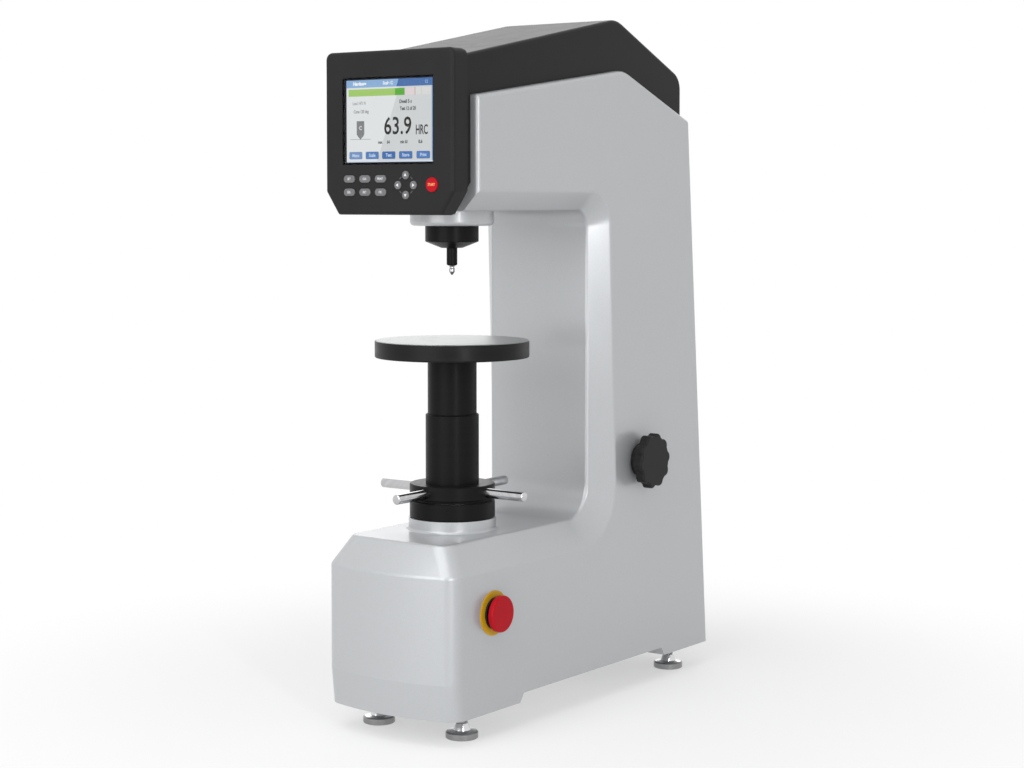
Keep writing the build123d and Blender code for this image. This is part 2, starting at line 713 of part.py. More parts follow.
def spindle_cap():
    inner = bush_radius + loose
    roof = bush_bottom - loose
    hole = spindle_radius + loose
    cap_edge = head_boss_bottom - cap_height
    return turned([
        (inner, head_boss_bottom), (cap_radius, head_boss_bottom), (cap_radius, cap_edge + 0.6),
        (cap_radius - 0.8, cap_edge), (cap_radius * 0.62, cap_bottom + 2.2), (cap_radius * 0.4, cap_bottom),
        (hole, cap_bottom), (hole, roof), (inner, roof),
    ])


def spindle_bush():
    return turned([
        (spindle_radius + running, bush_bottom), (bush_radius, bush_bottom), (bush_radius, arm_floor),
        (bush_flange_radius, arm_floor), (bush_flange_radius, arm_floor + bush_flange),
        (bush_radius, arm_floor + bush_flange),
        (bush_radius, bush_top),
        (spindle_radius + running, bush_top),
    ])


def spindle():
    low = bush_top + seat
    bore_end = spindle_bottom + indenter_shank
    return turned([
        (indenter_shank_radius, bore_end), (indenter_shank_radius, spindle_bottom),
        (spindle_radius - 1, spindle_bottom),
        (spindle_radius, spindle_bottom + 1),
        (spindle_radius, low), (collar_radius, low), (collar_radius, low + collar_thickness),
        (spindle_radius, low + collar_thickness), (spindle_radius, spindle_top), (0, spindle_top),
        (0, bore_end),
    ])


def indenter():
    # cone with a rounded tip, its neck, and the shank that sits in the spindle
    r = indenter_radius
    tip = spindle_bottom - indenter_length
    shank = indenter_shank_radius - running
    shank_end = spindle_bottom + indenter_shank - seat
    point = ThreePointArc((0, tip), (0.27 * r, tip + 0.11 * r), (0.45 * r, tip + 0.4 * r))
    sides = Polyline((0.45 * r, tip + 0.4 * r), (r, tip + 1.2 * r), (r, tip + 2.1 * r))
    waist = ThreePointArc((r, tip + 2.1 * r), (0.82 * r, tip + 2.6 * r), (1.3 * r, spindle_bottom))
    above = Polyline((1.3 * r, spindle_bottom), (shank, spindle_bottom), (shank, shank_end), (0, shank_end), (0, tip))
    return revolve(Plane.XZ * make_face(point.edges() + sides.edges() + waist.edges() + above.edges()), Axis.Z)


def depth_sensor():
    # reading head of the scale that the spindle's collar carries
    x0 = bush_flange_radius + 1
    half = sensor_width / 2
    head = block(x0, x0 + sensor_length, -half, half, arm_floor, arm_floor + sensor_height)
    foot = block(x0, x0 + 2 * sensor_length, -half, half, arm_floor, arm_floor + sensor_height / 7)
    return head + foot


def lever_half_depth(y):
    # the lever is deepest at the spindle and tapers to its end
    along = (y - lever_root_y) / (lever_end - lever_root_y)
    return (lever_root_depth + (lever_tip_depth - lever_root_depth) * along) / 2


def load_lever():
    root, tip = lever_root_depth / 2, lever_tip_depth / 2
    points = [
        (pivot_y - root, pivot_z - root), (lever_root_y, pivot_z - root), (lever_end, pivot_z - tip),
        (lever_end, pivot_z + tip), (lever_root_y, pivot_z + root), (pivot_y - root, pivot_z + root),
    ]
    lever = across(points, [0.9 * root, 0, 2, 2, 0, 0.9 * root], lever_half_width)
    lever += rod_x(lever_nose_radius, -lever_half_width, lever_half_width, 0, pivot_z - root)
    return lever - rod_x(pivot_radius + running, -far, far, pivot_y, pivot_z)


def lever_bracket():
    # two ears on the arm floor with the pivot pin across them
    inside, outside = lever_half_width + loose, lever_half_width + 7
    foot, top = 3 * pivot_radius, 2.2 * pivot_radius
    ears = across([(pivot_y - foot, arm_floor), (pivot_y + foot, arm_floor), (pivot_y + top, pivot_z + top),
                   (pivot_y - top, pivot_z + top)], [0, 0, 7, 7], outside)
    bracket = ears - block(-inside, inside, -far, far, 0, far)
    bracket += block(-outside - 6, outside + 6, pivot_y - foot - 1, pivot_y + foot + 1, arm_floor, arm_floor + 5)
    bracket -= rod_x(pivot_radius, -far, far, pivot_y, pivot_z)
    pin = rod_x(pivot_radius, -outside - 2, outside + 2, pivot_y, pivot_z)
    return Compound([bracket, pin])


def hanger():
    # stirrup over the lever's end, rod and the plate under the weights
    depth = lever_half_depth(hanger_y)
    top = pivot_z + depth + 2 * loose
    low = pivot_z - depth - 8
    half = lever_half_width + 1
    bar = 8.0
    frame = block(-half - 5, half + 5, hanger_y - 6, hanger_y + 6, low - bar, top + bar)
    frame -= block(-half, half, hanger_y - 7, hanger_y + 7, low, top)
    rod = rod_z(hanger_rod_radius, weight_bottom - 1, low - bar, 0, hanger_y)
    plate = rod_z(hanger_plate_radius, weight_bottom - hanger_plate, weight_bottom, 0, hanger_y)
    return frame + rod + plate


def weights():
    discs = []
    for number in range(weight_count):
        low = weight_bottom + number * weight_thickness
        disc = rod_z(weight_radius, low, low + weight_thickness, 0, hanger_y)
        disc = chamfer(disc.edges(), 1)
        discs.append(disc - rod_z(hanger_rod_radius + loose, 0, far, 0, hanger_y))
    return Compound(discs)


def cam_height():
    # of the motor's shaft: the cam's highest point runs just under the lever
    return pivot_z - lever_half_depth(cam_y) - 3 * loose - cam_throw - cam_radius


def loading_motor():
    x0 = lever_half_width + 5
    half = 0.8 * motor_radius
    can = rod_x(motor_radius, x0, x0 + motor_length, cam_y, cam_height())
    stand = block(x0, x0 + 0.8 * motor_length, cam_y - half, cam_y + half, arm_floor, cam_height())
    return can + stand - rod_x(motor_shaft_radius + running, 0, x0 + 12, cam_y, cam_height())


def load_cam():
    # eccentric disc whose highest point is under the lever, on the motor's shaft
    disc = rod_x(cam_radius, -6, 6, cam_y, cam_height() + cam_throw)
    shaft = rod_x(motor_shaft_radius, -10, lever_half_width + 15, cam_y, cam_height())
    return disc + shaft


# ================= side controls

def selector_shaft():
    start = Plane.YZ.offset(-drum_length / 2)
    drum = extrude(start * Pos(knob_y, knob_z) * RegularPolygon(drum_radius, 6), drum_length)
    drum = fillet(drum.edges().filter_by(Axis.X), 3)
    return drum + rod_x(selector_radius, -30, knob_bore_end, knob_y, knob_z)


def selector_knob():
    # lobed grip on a round neck
    star = Circle(knob_radius - knob_notch)
    star += [spot * Circle(lobe_radius) for spot in PolarLocations(knob_radius - lobe_radius, knob_lobes, knob_phase)]
    star = fillet(star.vertices(), knob_rounding)
    place = Plane.YZ * Pos(knob_y, knob_z)
    grip = extrude(place * Pos(0, 0, knob_back) * star, knob_face - knob_back)
    grip = fillet(grip.faces().sort_by(Axis.X)[-1].edges(), knob_rounding)
    grip += rod_x(knob_neck_radius, frame_half_width + loose, knob_back + 1, knob_y, knob_z)
    return grip - rod_x(selector_radius, 0, knob_bore_end, knob_y, knob_z)


def estop_ring():
    ring = rod_x(estop_ring_radius, frame_half_width, estop_face, estop_y, estop_z)
    ring -= rod_x(plunger_radius + neck_wall, 0, far, estop_y, estop_z)
    return chamfer(ring.faces().sort_by(Axis.X)[-1].edges().sort_by(SortBy.RADIUS)[-1], 0.3)


def estop_collar():
    # threaded neck through the wall, its bezel outside and the contact block inside
    depth, width, height = estop_block
    bezel = rod_x(estop_collar_radius, estop_face, estop_face + estop_collar_length, estop_y, estop_z)
    bezel = fillet(bezel.edges().group_by(Axis.X)[-1], 0.5)
    neck = rod_x(plunger_radius + neck_wall, inner_side - 8, estop_face + 1, estop_y, estop_z)
    contacts = block(inner_side - 8 - depth, inner_side - 8, estop_y - width / 2, estop_y + width / 2,
                     estop_z - height / 2, estop_z + height / 2)
    body = bezel + neck + contacts
    return body - rod_x(plunger_radius + running, inner_side - 20, far, estop_y, estop_z)


def estop_head_back():
    return estop_face + estop_collar_length + estop_gap


def estop_plunger():
    return rod_x(plunger_radius, inner_side - 12, estop_head_back(), estop_y, estop_z)


def estop_head():
    # mushroom button with a rounded rim
    back = estop_head_back()
    head = rod_x(estop_head_radius, back, back + estop_head_length, estop_y, estop_z)
    return fillet(head.edges().group_by(Axis.X)[-1], estop_head_rounding)


# ================= rear and inside

def inlet_opening():
    return extrude(rear_plane(inlet_x, inlet_z) * Rectangle(inlet_body_width + 2 * seat, inlet_body_height + 2 * seat),
                   3 * frame_wall, both=True)


def power_inlet():
    # module with a three-pin socket below and the rocker's well above
    plane = rear_plane(inlet_x, inlet_z)
    flange = extrude(plane * RectangleRounded(inlet_flange_width, inlet_flange_height, 3), inlet_flange)
    body = extrude(plane * Rectangle(inlet_body_width, inlet_body_height), -inlet_depth)
    module = flange + body
    top = plane.offset(inlet_flange)
    module -= extrude(top * Pos(0, socket_up) * RectangleRounded(socket_width, socket_height, 3), -socket_depth)
    module -= extrude(top * Pos(0, rocker_up) * Rectangle(rocker_width + 2 * loose, rocker_length + 2), -well_depth)
    for x, up in ((-pin_pitch, pin_offset), (pin_pitch, pin_offset), (0, -pin_offset)):
        pin = extrude(top.offset(-socket_depth) * Pos(x, socket_up + up) * Rectangle(pin_width, pin_height),
                      socket_depth - 3)
        module += pin
    return module


def rocker_pivot():
    return rear_plane(inlet_x, inlet_z) * Pos(0, rocker_up, -rocker_depth / 4)


def switch_rocker():
    # bar with two shallow facets in front, tilted to its on position
    half = rocker_length / 2
    facet = 0.4 * rocker_depth
    section = [(-half, facet), (0, facet - 1.5), (half, facet), (half, -1), (half / 2, -rocker_depth),
               (-half / 2, -rocker_depth), (-half, -1)]
    profile = make_face(Polyline(*section, close=True))
    bar = extrude(Plane.YZ * profile, rocker_width / 2, both=True)
    return rocker_pivot() * Rot(rocker_angle, 0, 0) * bar


def control_board():
    # board on four posts on the left wall of the column, with its larger parts
    x0 = -inner_side + 6
    face = x0 + board_thickness
    y0, z0 = throat_depth + 45, cavity_floor + 17
    board = block(x0, face, y0, y0 + board_length, z0, z0 + board_height)
    posts = [rod_x(3, -inner_side, x0, y, z) for y in (y0 + 7, y0 + board_length - 7)
             for z in (z0 + 7, z0 + board_height - 7)]
    chips = [block(face, face + tall, y0 + y, y0 + y + wide, z0 + z, z0 + z + wide)
             for y, z, wide, tall in ((15, 20, 26, 3), (60, 30, 30, 12), (25, 80, 34, 3), (72, 90, 22, 14))]
    return board + posts + chips


def power_supply():
    right, rear = inner_side - 6, rear_foot_y - 37
    box = block(right - supply_width, right, rear - supply_length, rear, cavity_floor, cavity_floor + supply_height)
    return fillet(box.edges().filter_by(Axis.Z), 2)


# ================= feet

def foot_pad(x, y):
    pad = turned([
        (0, 0), (foot_pad_radius - 0.8, 0), (foot_pad_radius, 0.8), (foot_pad_radius, foot_pad_height - 1.2),
        (foot_pad_radius - 1.2, foot_pad_height), (foot_cone_radius + 1, foot_pad_height + 1),
        (foot_cone_radius, (foot_pad_height + foot_cone_height) / 2),
        (foot_cone_radius - 1.5, foot_cone_height), (0, foot_cone_height),
    ])
    return Pos(x, y, 0) * (pad - rod_z(stud_radius + running, foot_pad_height, foot_cone_height + 1))


def foot_stud(x, y):
    stud = rod_z(stud_radius, foot_pad_height + seat, frame_bottom + stud_grip)
    nut = Pos(0, 0, frame_bottom - locknut_height) * extrude(
        RegularPolygon(locknut_flats / 2, 6, major_radius=False), locknut_height - seat)
    return Pos(x, y, 0) * (stud + nut)


# ================= assembly

def add(name, shape):
    nodes[name] = shape


def build_all():
    add("frame_casting", frame_casting())
    add("top_cover", top_cover())
    add("rear_cover", rear_cover())
    add("rear_cover_screws", rear_cover_screws())
    add("bottom_plate", bottom_plate())
    add("display_housing", display_housing())
    add("display_back", display_back())
    add("screen_glass", screen_glass())
    add("lcd_module", lcd_module())
    add("key_board", key_board())
    for name in key_shapes():
        add(name, panel_key(name))
    add("anvil", anvil())
    add("elevating_screw", elevating_screw())
    add("screw_sleeve", screw_sleeve())
    add("guard_tube", guard_tube())
    add("handwheel_hub", handwheel_hub())
    add("handwheel_spokes", handwheel_spokes())
    add("elevating_nut", elevating_nut())
    add("bearing_ring", bearing_ring())
    add("thrust_bearing", thrust_bearing())
    add("guide_post", guide_post())
    add("spindle_cap", spindle_cap())
    add("spindle_bush", spindle_bush())
    add("spindle", spindle())
    add("indenter", indenter())
    add("depth_sensor", depth_sensor())
    add("load_lever", load_lever())
    add("lever_bracket", lever_bracket())
    add("hanger", hanger())
    add("weights", weights())
    add("loading_motor", loading_motor())
    add("load_cam", load_cam())
    add("selector_shaft", selector_shaft())
    add("selector_knob", selector_knob())
    add("estop_ring", estop_ring())
    add("estop_collar", estop_collar())
    add("estop_plunger", estop_plunger())
    add("estop_head", estop_head())
    add("power_inlet", power_inlet())
    add("switch_rocker", switch_rocker())
    add("control_board", control_board())
    add("power_supply", power_supply())
    for number, (x, y) in enumerate(foot_places(), 1):
        add(f"foot_pad_{number}", foot_pad(x, y))
        add(f"foot_stud_{number}", foot_stud(x, y))


build_all()

# The footprint runs from the left spoke's end to the knob's face, and from the crown to the rear foot
to_middle = Pos((max(spoke_reach, frame_half_width) - knob_face) / 2, (nose_reach - rear_foot_y) / 2, 0)

os.makedirs("parts", exist_ok=True)
for name, shape in nodes.items():
    export_step(to_middle * Compound(bodies_of(shape)), f"parts/{name}.step")
    print(name, round(shape.volume), "mm3")
print(len(nodes), "nodes")
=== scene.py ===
import json
import math

import bmesh
import bpy
from mathutils import Matrix, Vector


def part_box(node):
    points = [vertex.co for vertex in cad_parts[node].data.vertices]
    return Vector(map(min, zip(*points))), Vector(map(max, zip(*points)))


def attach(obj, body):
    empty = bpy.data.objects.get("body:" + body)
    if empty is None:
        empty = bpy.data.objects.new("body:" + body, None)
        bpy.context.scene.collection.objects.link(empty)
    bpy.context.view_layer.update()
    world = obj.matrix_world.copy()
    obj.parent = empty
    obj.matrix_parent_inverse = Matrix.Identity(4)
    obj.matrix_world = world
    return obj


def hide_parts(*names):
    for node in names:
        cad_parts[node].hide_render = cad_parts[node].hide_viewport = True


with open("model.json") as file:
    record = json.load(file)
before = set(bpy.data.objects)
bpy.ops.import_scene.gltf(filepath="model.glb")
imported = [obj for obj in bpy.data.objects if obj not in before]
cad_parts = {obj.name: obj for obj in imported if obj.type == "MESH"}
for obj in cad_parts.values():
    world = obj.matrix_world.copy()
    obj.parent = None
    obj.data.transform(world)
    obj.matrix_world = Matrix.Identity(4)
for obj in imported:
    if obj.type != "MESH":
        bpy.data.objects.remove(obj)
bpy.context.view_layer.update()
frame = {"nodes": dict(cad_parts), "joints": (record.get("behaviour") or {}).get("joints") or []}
nodes = frame["nodes"]
print("frame loaded,", len(nodes), "pieces")


def addNode(tree, kind, settings=None, **inputs):
    # settings are the node's own values; inputs are its sockets,
    # by name with _ for a space, or by number as s0, s1
    node = tree.nodes.new(kind)
    for name, value in (settings or {}).items():
        setattr(node, name, value)
    for name, value in inputs.items():
        isNumber = name[0] == "s" and name[1:].isdigit()
        socket = node.inputs[int(name[1:]) if isNumber else name.replace("_", " ")]
        if isinstance(value, bpy.types.NodeSocket):
            tree.links.new(value, socket)
        else:
            socket.default_value = value
    return node


def mathNode(tree, operation, first, second=0.0):
    return addNode(tree, "ShaderNodeMath", {"operation": operation}, s0=first, s1=second).outputs[0]


def blendMasks(tree, first, second, share):
    # share is the first mask's part of the result
    return mathNode(tree, "ADD", mathNode(tree, "MULTIPLY", first, share),
                    mathNode(tree, "MULTIPLY", second, 1 - share))


def shaderGroup(name, inputs, outputs):
    tree = bpy.data.node_groups.new(name, "ShaderNodeTree")
    for label, kind, value in inputs:
        socket = tree.interface.new_socket(label, in_out="INPUT", socket_type="NodeSocket" + kind)
        if value is not None:
            socket.default_value = value
    for label, kind in outputs:
        tree.interface.new_socket(label, in_out="OUTPUT", socket_type="NodeSocket" + kind)
    return tree, tree.nodes.new("NodeGroupInput").outputs, tree.nodes.new("NodeGroupOutput").inputs


def placeGroup(tree, group, **inputs):
    return addNode(tree, "ShaderNodeGroup", {"node_tree": group}, **inputs).outputs


def middleOf(name):
    low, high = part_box(name)
    return (low + high) / 2


def buildSurfaceGrain():
    # fine relief of a moulded or sprayed surface, with broad clouds for uneven gloss
    tree, given, out = shaderGroup(
        "surfaceGrain",
        [("vector", "Vector", None), ("grainSize", "Float", 0.001), ("cloudSize", "Float", 0.05)],
        [("height", "Float"), ("cloud", "Float")],
    )
    fineScale = mathNode(tree, "DIVIDE", 1.0, given["grainSize"])
    fine = addNode(tree, "ShaderNodeTexNoise", Vector=given["vector"], Scale=fineScale,
                   Detail=3.0, Roughness=0.6)
    broadScale = mathNode(tree, "DIVIDE", 1.0, given["cloudSize"])
    broad = addNode(tree, "ShaderNodeTexNoise", Vector=given["vector"], Scale=broadScale,
                    Detail=2.0, Roughness=0.5)
    tree.links.new(fine.outputs["Fac"], out["height"])
    tree.links.new(broad.outputs["Fac"], out["cloud"])
    return tree


def buildMetalFlake():
    # small flat cells, each with its own brightness, as in metallic paint
    tree, given, out = shaderGroup(
        "metalFlake",
        [("vector", "Vector", None), ("flakeSize", "Float", 0.0004)],
        [("flake", "Float")],
    )
    scale = mathNode(tree, "DIVIDE", 1.0, given["flakeSize"])
    cells = addNode(tree, "ShaderNodeTexVoronoi", Vector=given["vector"], Scale=scale)
    split = addNode(tree, "ShaderNodeSeparateColor", Color=cells.outputs["Color"])
    tree.links.new(split.outputs[0], out["flake"])
    return tree


def buildTurningLines():
    # rings left by a lathe around a vertical axis through "centre"
    tree, given, out = shaderGroup(
        "turningLines",
        [("vector", "Vector", None), ("centre", "Vector", (0, 0, 0)), ("pitch", "Float", 0.0005),
         ("streakScale", "Float", 0.12)],
        [("height", "Float"), ("streak", "Float")],
    )
    local = addNode(tree, "ShaderNodeVectorMath", {"operation": "SUBTRACT"},
                    s0=given["vector"], s1=given["centre"])
    parts = addNode(tree, "ShaderNodeSeparateXYZ", Vector=local.outputs[0])
    flat = addNode(tree, "ShaderNodeCombineXYZ", X=parts.outputs[0], Y=parts.outputs[1])
    radius = addNode(tree, "ShaderNodeVectorMath", {"operation": "LENGTH"}, s0=flat.outputs[0])
    along = mathNode(tree, "ADD", radius.outputs["Value"], parts.outputs[2])
    lineScale = mathNode(tree, "DIVIDE", along, given["pitch"])
    broad = mathNode(tree, "MULTIPLY", lineScale, given["streakScale"])
    for place, detail, label in ((lineScale, 2.0, "height"), (broad, 1.0, "streak")):
        noise = addNode(tree, "ShaderNodeTexNoise", {"noise_dimensions": "1D"}, W=place, Scale=1.0,
                        Detail=detail)
        tree.links.new(noise.outputs["Fac"], out[label])
    return tree


def buildHandling():
    # faint smears that hands and cloths leave
    tree, given, out = shaderGroup(
        "handling",
        [("vector", "Vector", None), ("smearSize", "Float", 0.02), ("start", "Float", 0.45),
         ("full", "Float", 0.75)],
        [("smear", "Float")],
    )
    scale = mathNode(tree, "DIVIDE", 1.0, given["smearSize"])
    clouds = addNode(tree, "ShaderNodeTexNoise", Vector=given["vector"], Scale=scale, Detail=5.0,
                     Roughness=0.65, Distortion=0.8)
    smear = addNode(tree, "ShaderNodeMapRange", {"interpolation_type": "SMOOTHSTEP"},
                    Value=clouds.outputs["Fac"], From_Min=given["start"], From_Max=given["full"])
    tree.links.new(smear.outputs[0], out["smear"])
    return tree


surfaceGrain = buildSurfaceGrain()
metalFlake = buildMetalFlake()
turningLines = buildTurningLines()
handling = buildHandling()


def startMaterial(name, **plain):
    material = bpy.data.materials.new(name)
    material.use_nodes = True
    tree = material.node_tree
    shader = tree.nodes["Principled BSDF"]
    for label, value in plain.items():
        shader.inputs[label.replace("_", " ")].default_value = value
    position = tree.nodes.new("ShaderNodeTexCoord").outputs["Object"]
    return material, tree, shader, position


def shadedColour(tree, colour, mask, amount):
    # the colour, darker and lighter by amount along the mask
    low = [c * (1 - amount) for c in colour]
    high = [c * (1 + amount) for c in colour]
    mix = addNode(tree, "ShaderNodeMix", {"data_type": "RGBA"}, Factor=mask, s6=(*low, 1), s7=(*high, 1))
    return mix.outputs[2]


def varyColour(tree, shader, colour, mask, amount):
    tree.links.new(shadedColour(tree, colour, mask, amount), shader.inputs["Base Color"])


def spanned(tree, low, high, mask):
    return addNode(tree, "ShaderNodeMapRange", Value=mask, To_Min=low, To_Max=high).outputs[0]


def varyRoughness(tree, shader, low, high, mask):
    tree.links.new(spanned(tree, low, high, mask), shader.inputs["Roughness"])


def addRelief(tree, shader, height, depth):
    # depth is the relief's real height in metres
    bump = addNode(tree, "ShaderNodeBump", Height=height, Distance=depth, Strength=1.0)
    tree.links.new(bump.outputs[0], shader.inputs["Normal"])


# sizes in metres; a pair of roughness values is the lowest and the highest
silverPaint = {
    "colour": (0.435, 0.447, 0.460),
    "metallic": 0.35,
    "ior": 1.5,
    "coat": 0.4,
    "coatRoughness": 0.12,
    "roughness": (0.32, 0.40),
    "cloudSize": 0.12,
    "peelSize": 0.0035,
    "peelDepth": 0.000012,
    "flakeSize": 0.0005,
    "flakeShade": 0.035,
}


def makeSilverPaint():
    p = silverPaint
    material, tree, shader, position = startMaterial(
        "silverPaint", Metallic=p["metallic"], IOR=p["ior"], Coat_Weight=p["coat"],
        Coat_Roughness=p["coatRoughness"]
    )
    grain = placeGroup(tree, surfaceGrain, vector=position, grainSize=p["peelSize"],
                       cloudSize=p["cloudSize"])
    flake = placeGroup(tree, metalFlake, vector=position, flakeSize=p["flakeSize"])
    varyColour(tree, shader, p["colour"], flake["flake"], p["flakeShade"])
    varyRoughness(tree, shader, *p["roughness"], grain["cloud"])
    addRelief(tree, shader, grain["height"], p["peelDepth"])
    return material


# grain and depth are the size and the height of the moulded or sprayed grain
mouldedFinishes = {
    "blackPaint": dict(colour=(0.010, 0.010, 0.0105), roughness=(0.36, 0.44), grain=0.0011,
                       depth=0.00002, specular=0.14, coat=0.0),
    "blackPlastic": dict(colour=(0.018, 0.018, 0.0185), roughness=(0.40, 0.50), grain=0.0006,
                         depth=0.000025, specular=0.10, coat=0.0),
    "greyPlastic": dict(colour=(0.12, 0.12, 0.125), roughness=(0.38, 0.46), grain=0.0005,
                        depth=0.000015, specular=0.5, coat=0.0),
    "redPlastic": dict(colour=(0.40, 0.006, 0.013), roughness=(0.30, 0.38), grain=0.0009,
                       depth=0.000008, specular=0.08, coat=0.0),
    "yellowPlastic": dict(colour=(0.54, 0.30, 0.010), roughness=(0.35, 0.45), grain=0.0008,
                          depth=0.00001, specular=0.16, coat=0.0),
    "circuitBoard": dict(colour=(0.01, 0.09, 0.035), roughness=(0.3, 0.4), grain=0.0012,
                         depth=0.00002, specular=0.5, coat=0.2),
    "castIron": dict(colour=(0.07, 0.07, 0.073), roughness=(0.55, 0.7), grain=0.0016,
                     depth=0.0001, specular=0.4, coat=0.0),
}
mouldedWear = {"cloudSize": 0.03, "smearSize": 0.018, "shade": 0.12, "cloudShare": 0.6, "coatRoughness": 0.15}


def makeMoulded(name):
    p = mouldedFinishes[name] | mouldedWear
    material, tree, shader, position = startMaterial(
        name, Specular_IOR_Level=p["specular"], Coat_Weight=p["coat"], Coat_Roughness=p["coatRoughness"]
    )
    grain = placeGroup(tree, surfaceGrain, vector=position, grainSize=p["grain"], cloudSize=p["cloudSize"])
    touch = placeGroup(tree, handling, vector=position, smearSize=p["smearSize"])
    varyColour(tree, shader, p["colour"], grain["cloud"], p["shade"])
    wear = blendMasks(tree, grain["cloud"], touch["smear"], p["cloudShare"])
    varyRoughness(tree, shader, *p["roughness"], wear)
    addRelief(tree, shader, grain["height"], p["depth"])
    return material


# pitch and depth are those of the lines left by the lathe
turnedFinishes = {
    "steel": dict(colour=(0.50, 0.50, 0.51), metallic=1.0, roughness=(0.22, 0.36), pitch=0.0005,
                  depth=0.000012),
    "zincSteel": dict(colour=(0.56, 0.57, 0.56), metallic=1.0, roughness=(0.30, 0.42), pitch=0.0009,
                      depth=0.000006),
    "blackenedSteel": dict(colour=(0.007, 0.007, 0.0075), metallic=0.0, roughness=(0.30, 0.42),
                           pitch=0.0006, depth=0.000008),
    "chrome": dict(colour=(0.54, 0.54, 0.55), metallic=1.0, roughness=(0.12, 0.20), pitch=0.0007,
                   depth=0.000002),
    "bronze": dict(colour=(0.50, 0.33, 0.14), metallic=1.0, roughness=(0.28, 0.40), pitch=0.0006,
                   depth=0.00001),
    "aluminium": dict(colour=(0.55, 0.56, 0.57), metallic=1.0, roughness=(0.34, 0.46), pitch=0.0008,
                      depth=0.00001),
}
turnedWear = {"specular": 0.08, "smearSize": 0.015, "shade": 0.10, "streakShare": 0.5}


def makeTurned(name, finish, axis):
    # axis is a point on the lathe's vertical axis
    p = turnedFinishes[finish] | turnedWear
    material, tree, shader, position = startMaterial(
        name, Metallic=p["metallic"], Specular_IOR_Level=p["specular"]
    )
    lines = placeGroup(tree, turningLines, vector=position, centre=tuple(axis), pitch=p["pitch"])
    touch = placeGroup(tree, handling, vector=position, smearSize=p["smearSize"])
    varyColour(tree, shader, p["colour"], lines["streak"], p["shade"])
    wear = blendMasks(tree, lines["streak"], touch["smear"], p["streakShare"])
    varyRoughness(tree, shader, *p["roughness"], wear)
    addRelief(tree, shader, lines["height"], p["depth"])
    return material


# turned pieces with two finishes, which meet at edge: metres down from the top, or up from the bottom
twoFinishes = {
    "anvil": dict(edge=0.0006, fromTop=True, pitch=0.0007, depth=0.00001,
                  above=dict(colour=(0.35, 0.36, 0.36), metallic=1.0, roughness=(0.36, 0.48)),
                  below=dict(colour=(0.008, 0.008, 0.0085), metallic=0.0, roughness=(0.30, 0.42))),
    "indenter": dict(edge=0.0022, fromTop=False, pitch=0.0005, depth=0.000003,
                     above=dict(colour=(0.40, 0.40, 0.41), metallic=1.0, roughness=(0.16, 0.26)),
                     below=dict(colour=(0.10, 0.10, 0.11), metallic=0.0, roughness=(0.03, 0.06))),
    "foot": dict(edge=0.00705, fromTop=False, pitch=0.0006, depth=0.00001,
                 above=dict(colour=(0.66, 0.66, 0.67), metallic=1.0, roughness=(0.14, 0.24)),
                 below=dict(colour=(0.31, 0.31, 0.315), metallic=1.0, roughness=(0.26, 0.38))),
}
twoFinishWear = {"specular": 0.14, "smearSize": 0.02, "shade": 0.1, "streakShare": 0.5}


def makeTwoFinished(name, finish, piece):
    p = twoFinishes[finish] | twoFinishWear
    above, below = p["above"], p["below"]
    low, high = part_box(piece)
    level = high.z - p["edge"] if p["fromTop"] else low.z + p["edge"]
    material, tree, shader, position = startMaterial(
        name, Metallic=above["metallic"], Specular_IOR_Level=p["specular"]
    )
    parts = addNode(tree, "ShaderNodeSeparateXYZ", Vector=position)
    isAbove = mathNode(tree, "GREATER_THAN", parts.outputs[2], level)
    lines = placeGroup(tree, turningLines, vector=position, centre=tuple(middleOf(piece)), pitch=p["pitch"])
    touch = placeGroup(tree, handling, vector=position, smearSize=p["smearSize"])
    wear = blendMasks(tree, lines["streak"], touch["smear"], p["streakShare"])
    shades = [shadedColour(tree, part["colour"], lines["streak"], p["shade"]) for part in (below, above)]
    glosses = [spanned(tree, *part["roughness"], wear) for part in (below, above)]
    colour = addNode(tree, "ShaderNodeMix", {"data_type": "RGBA"}, Factor=isAbove, s6=shades[0], s7=shades[1])
    gloss = addNode(tree, "ShaderNodeMix", {"data_type": "FLOAT"}, Factor=isAbove, s2=glosses[0],
                    s3=glosses[1])
    tree.links.new(colour.outputs[2], shader.inputs["Base Color"])
    tree.links.new(gloss.outputs[0], shader.inputs["Roughness"])
    if above["metallic"] != below["metallic"]:
        metal = spanned(tree, below["metallic"], above["metallic"], isAbove)
        tree.links.new(metal, shader.inputs["Metallic"])
    addRelief(tree, shader, lines["height"], p["depth"])
    return material


clearGlass = {"colour": (0.97, 0.985, 0.98), "ior": 1.22, "roughness": (0.0, 0.01), "smearSize": 0.025}


def makeClearGlass():
    p = clearGlass
    material, tree, shader, position = startMaterial(
        "clearGlass", Base_Color=(*p["colour"], 1), Transmission_Weight=1.0, IOR=p["ior"]
    )
    touch = placeGroup(tree, handling, vector=position, smearSize=p["smearSize"])
    varyRoughness(tree, shader, *p["roughness"], touch["smear"])
    return material


# dip is how far the light falls between two rows of pixels
screenPixels = {"pitch": 0.0003, "dip": 0.04, "level": 0.96, "dark": (0.01, 0.01, 0.01), "roughness": 0.35,
                "specular": 0.1}


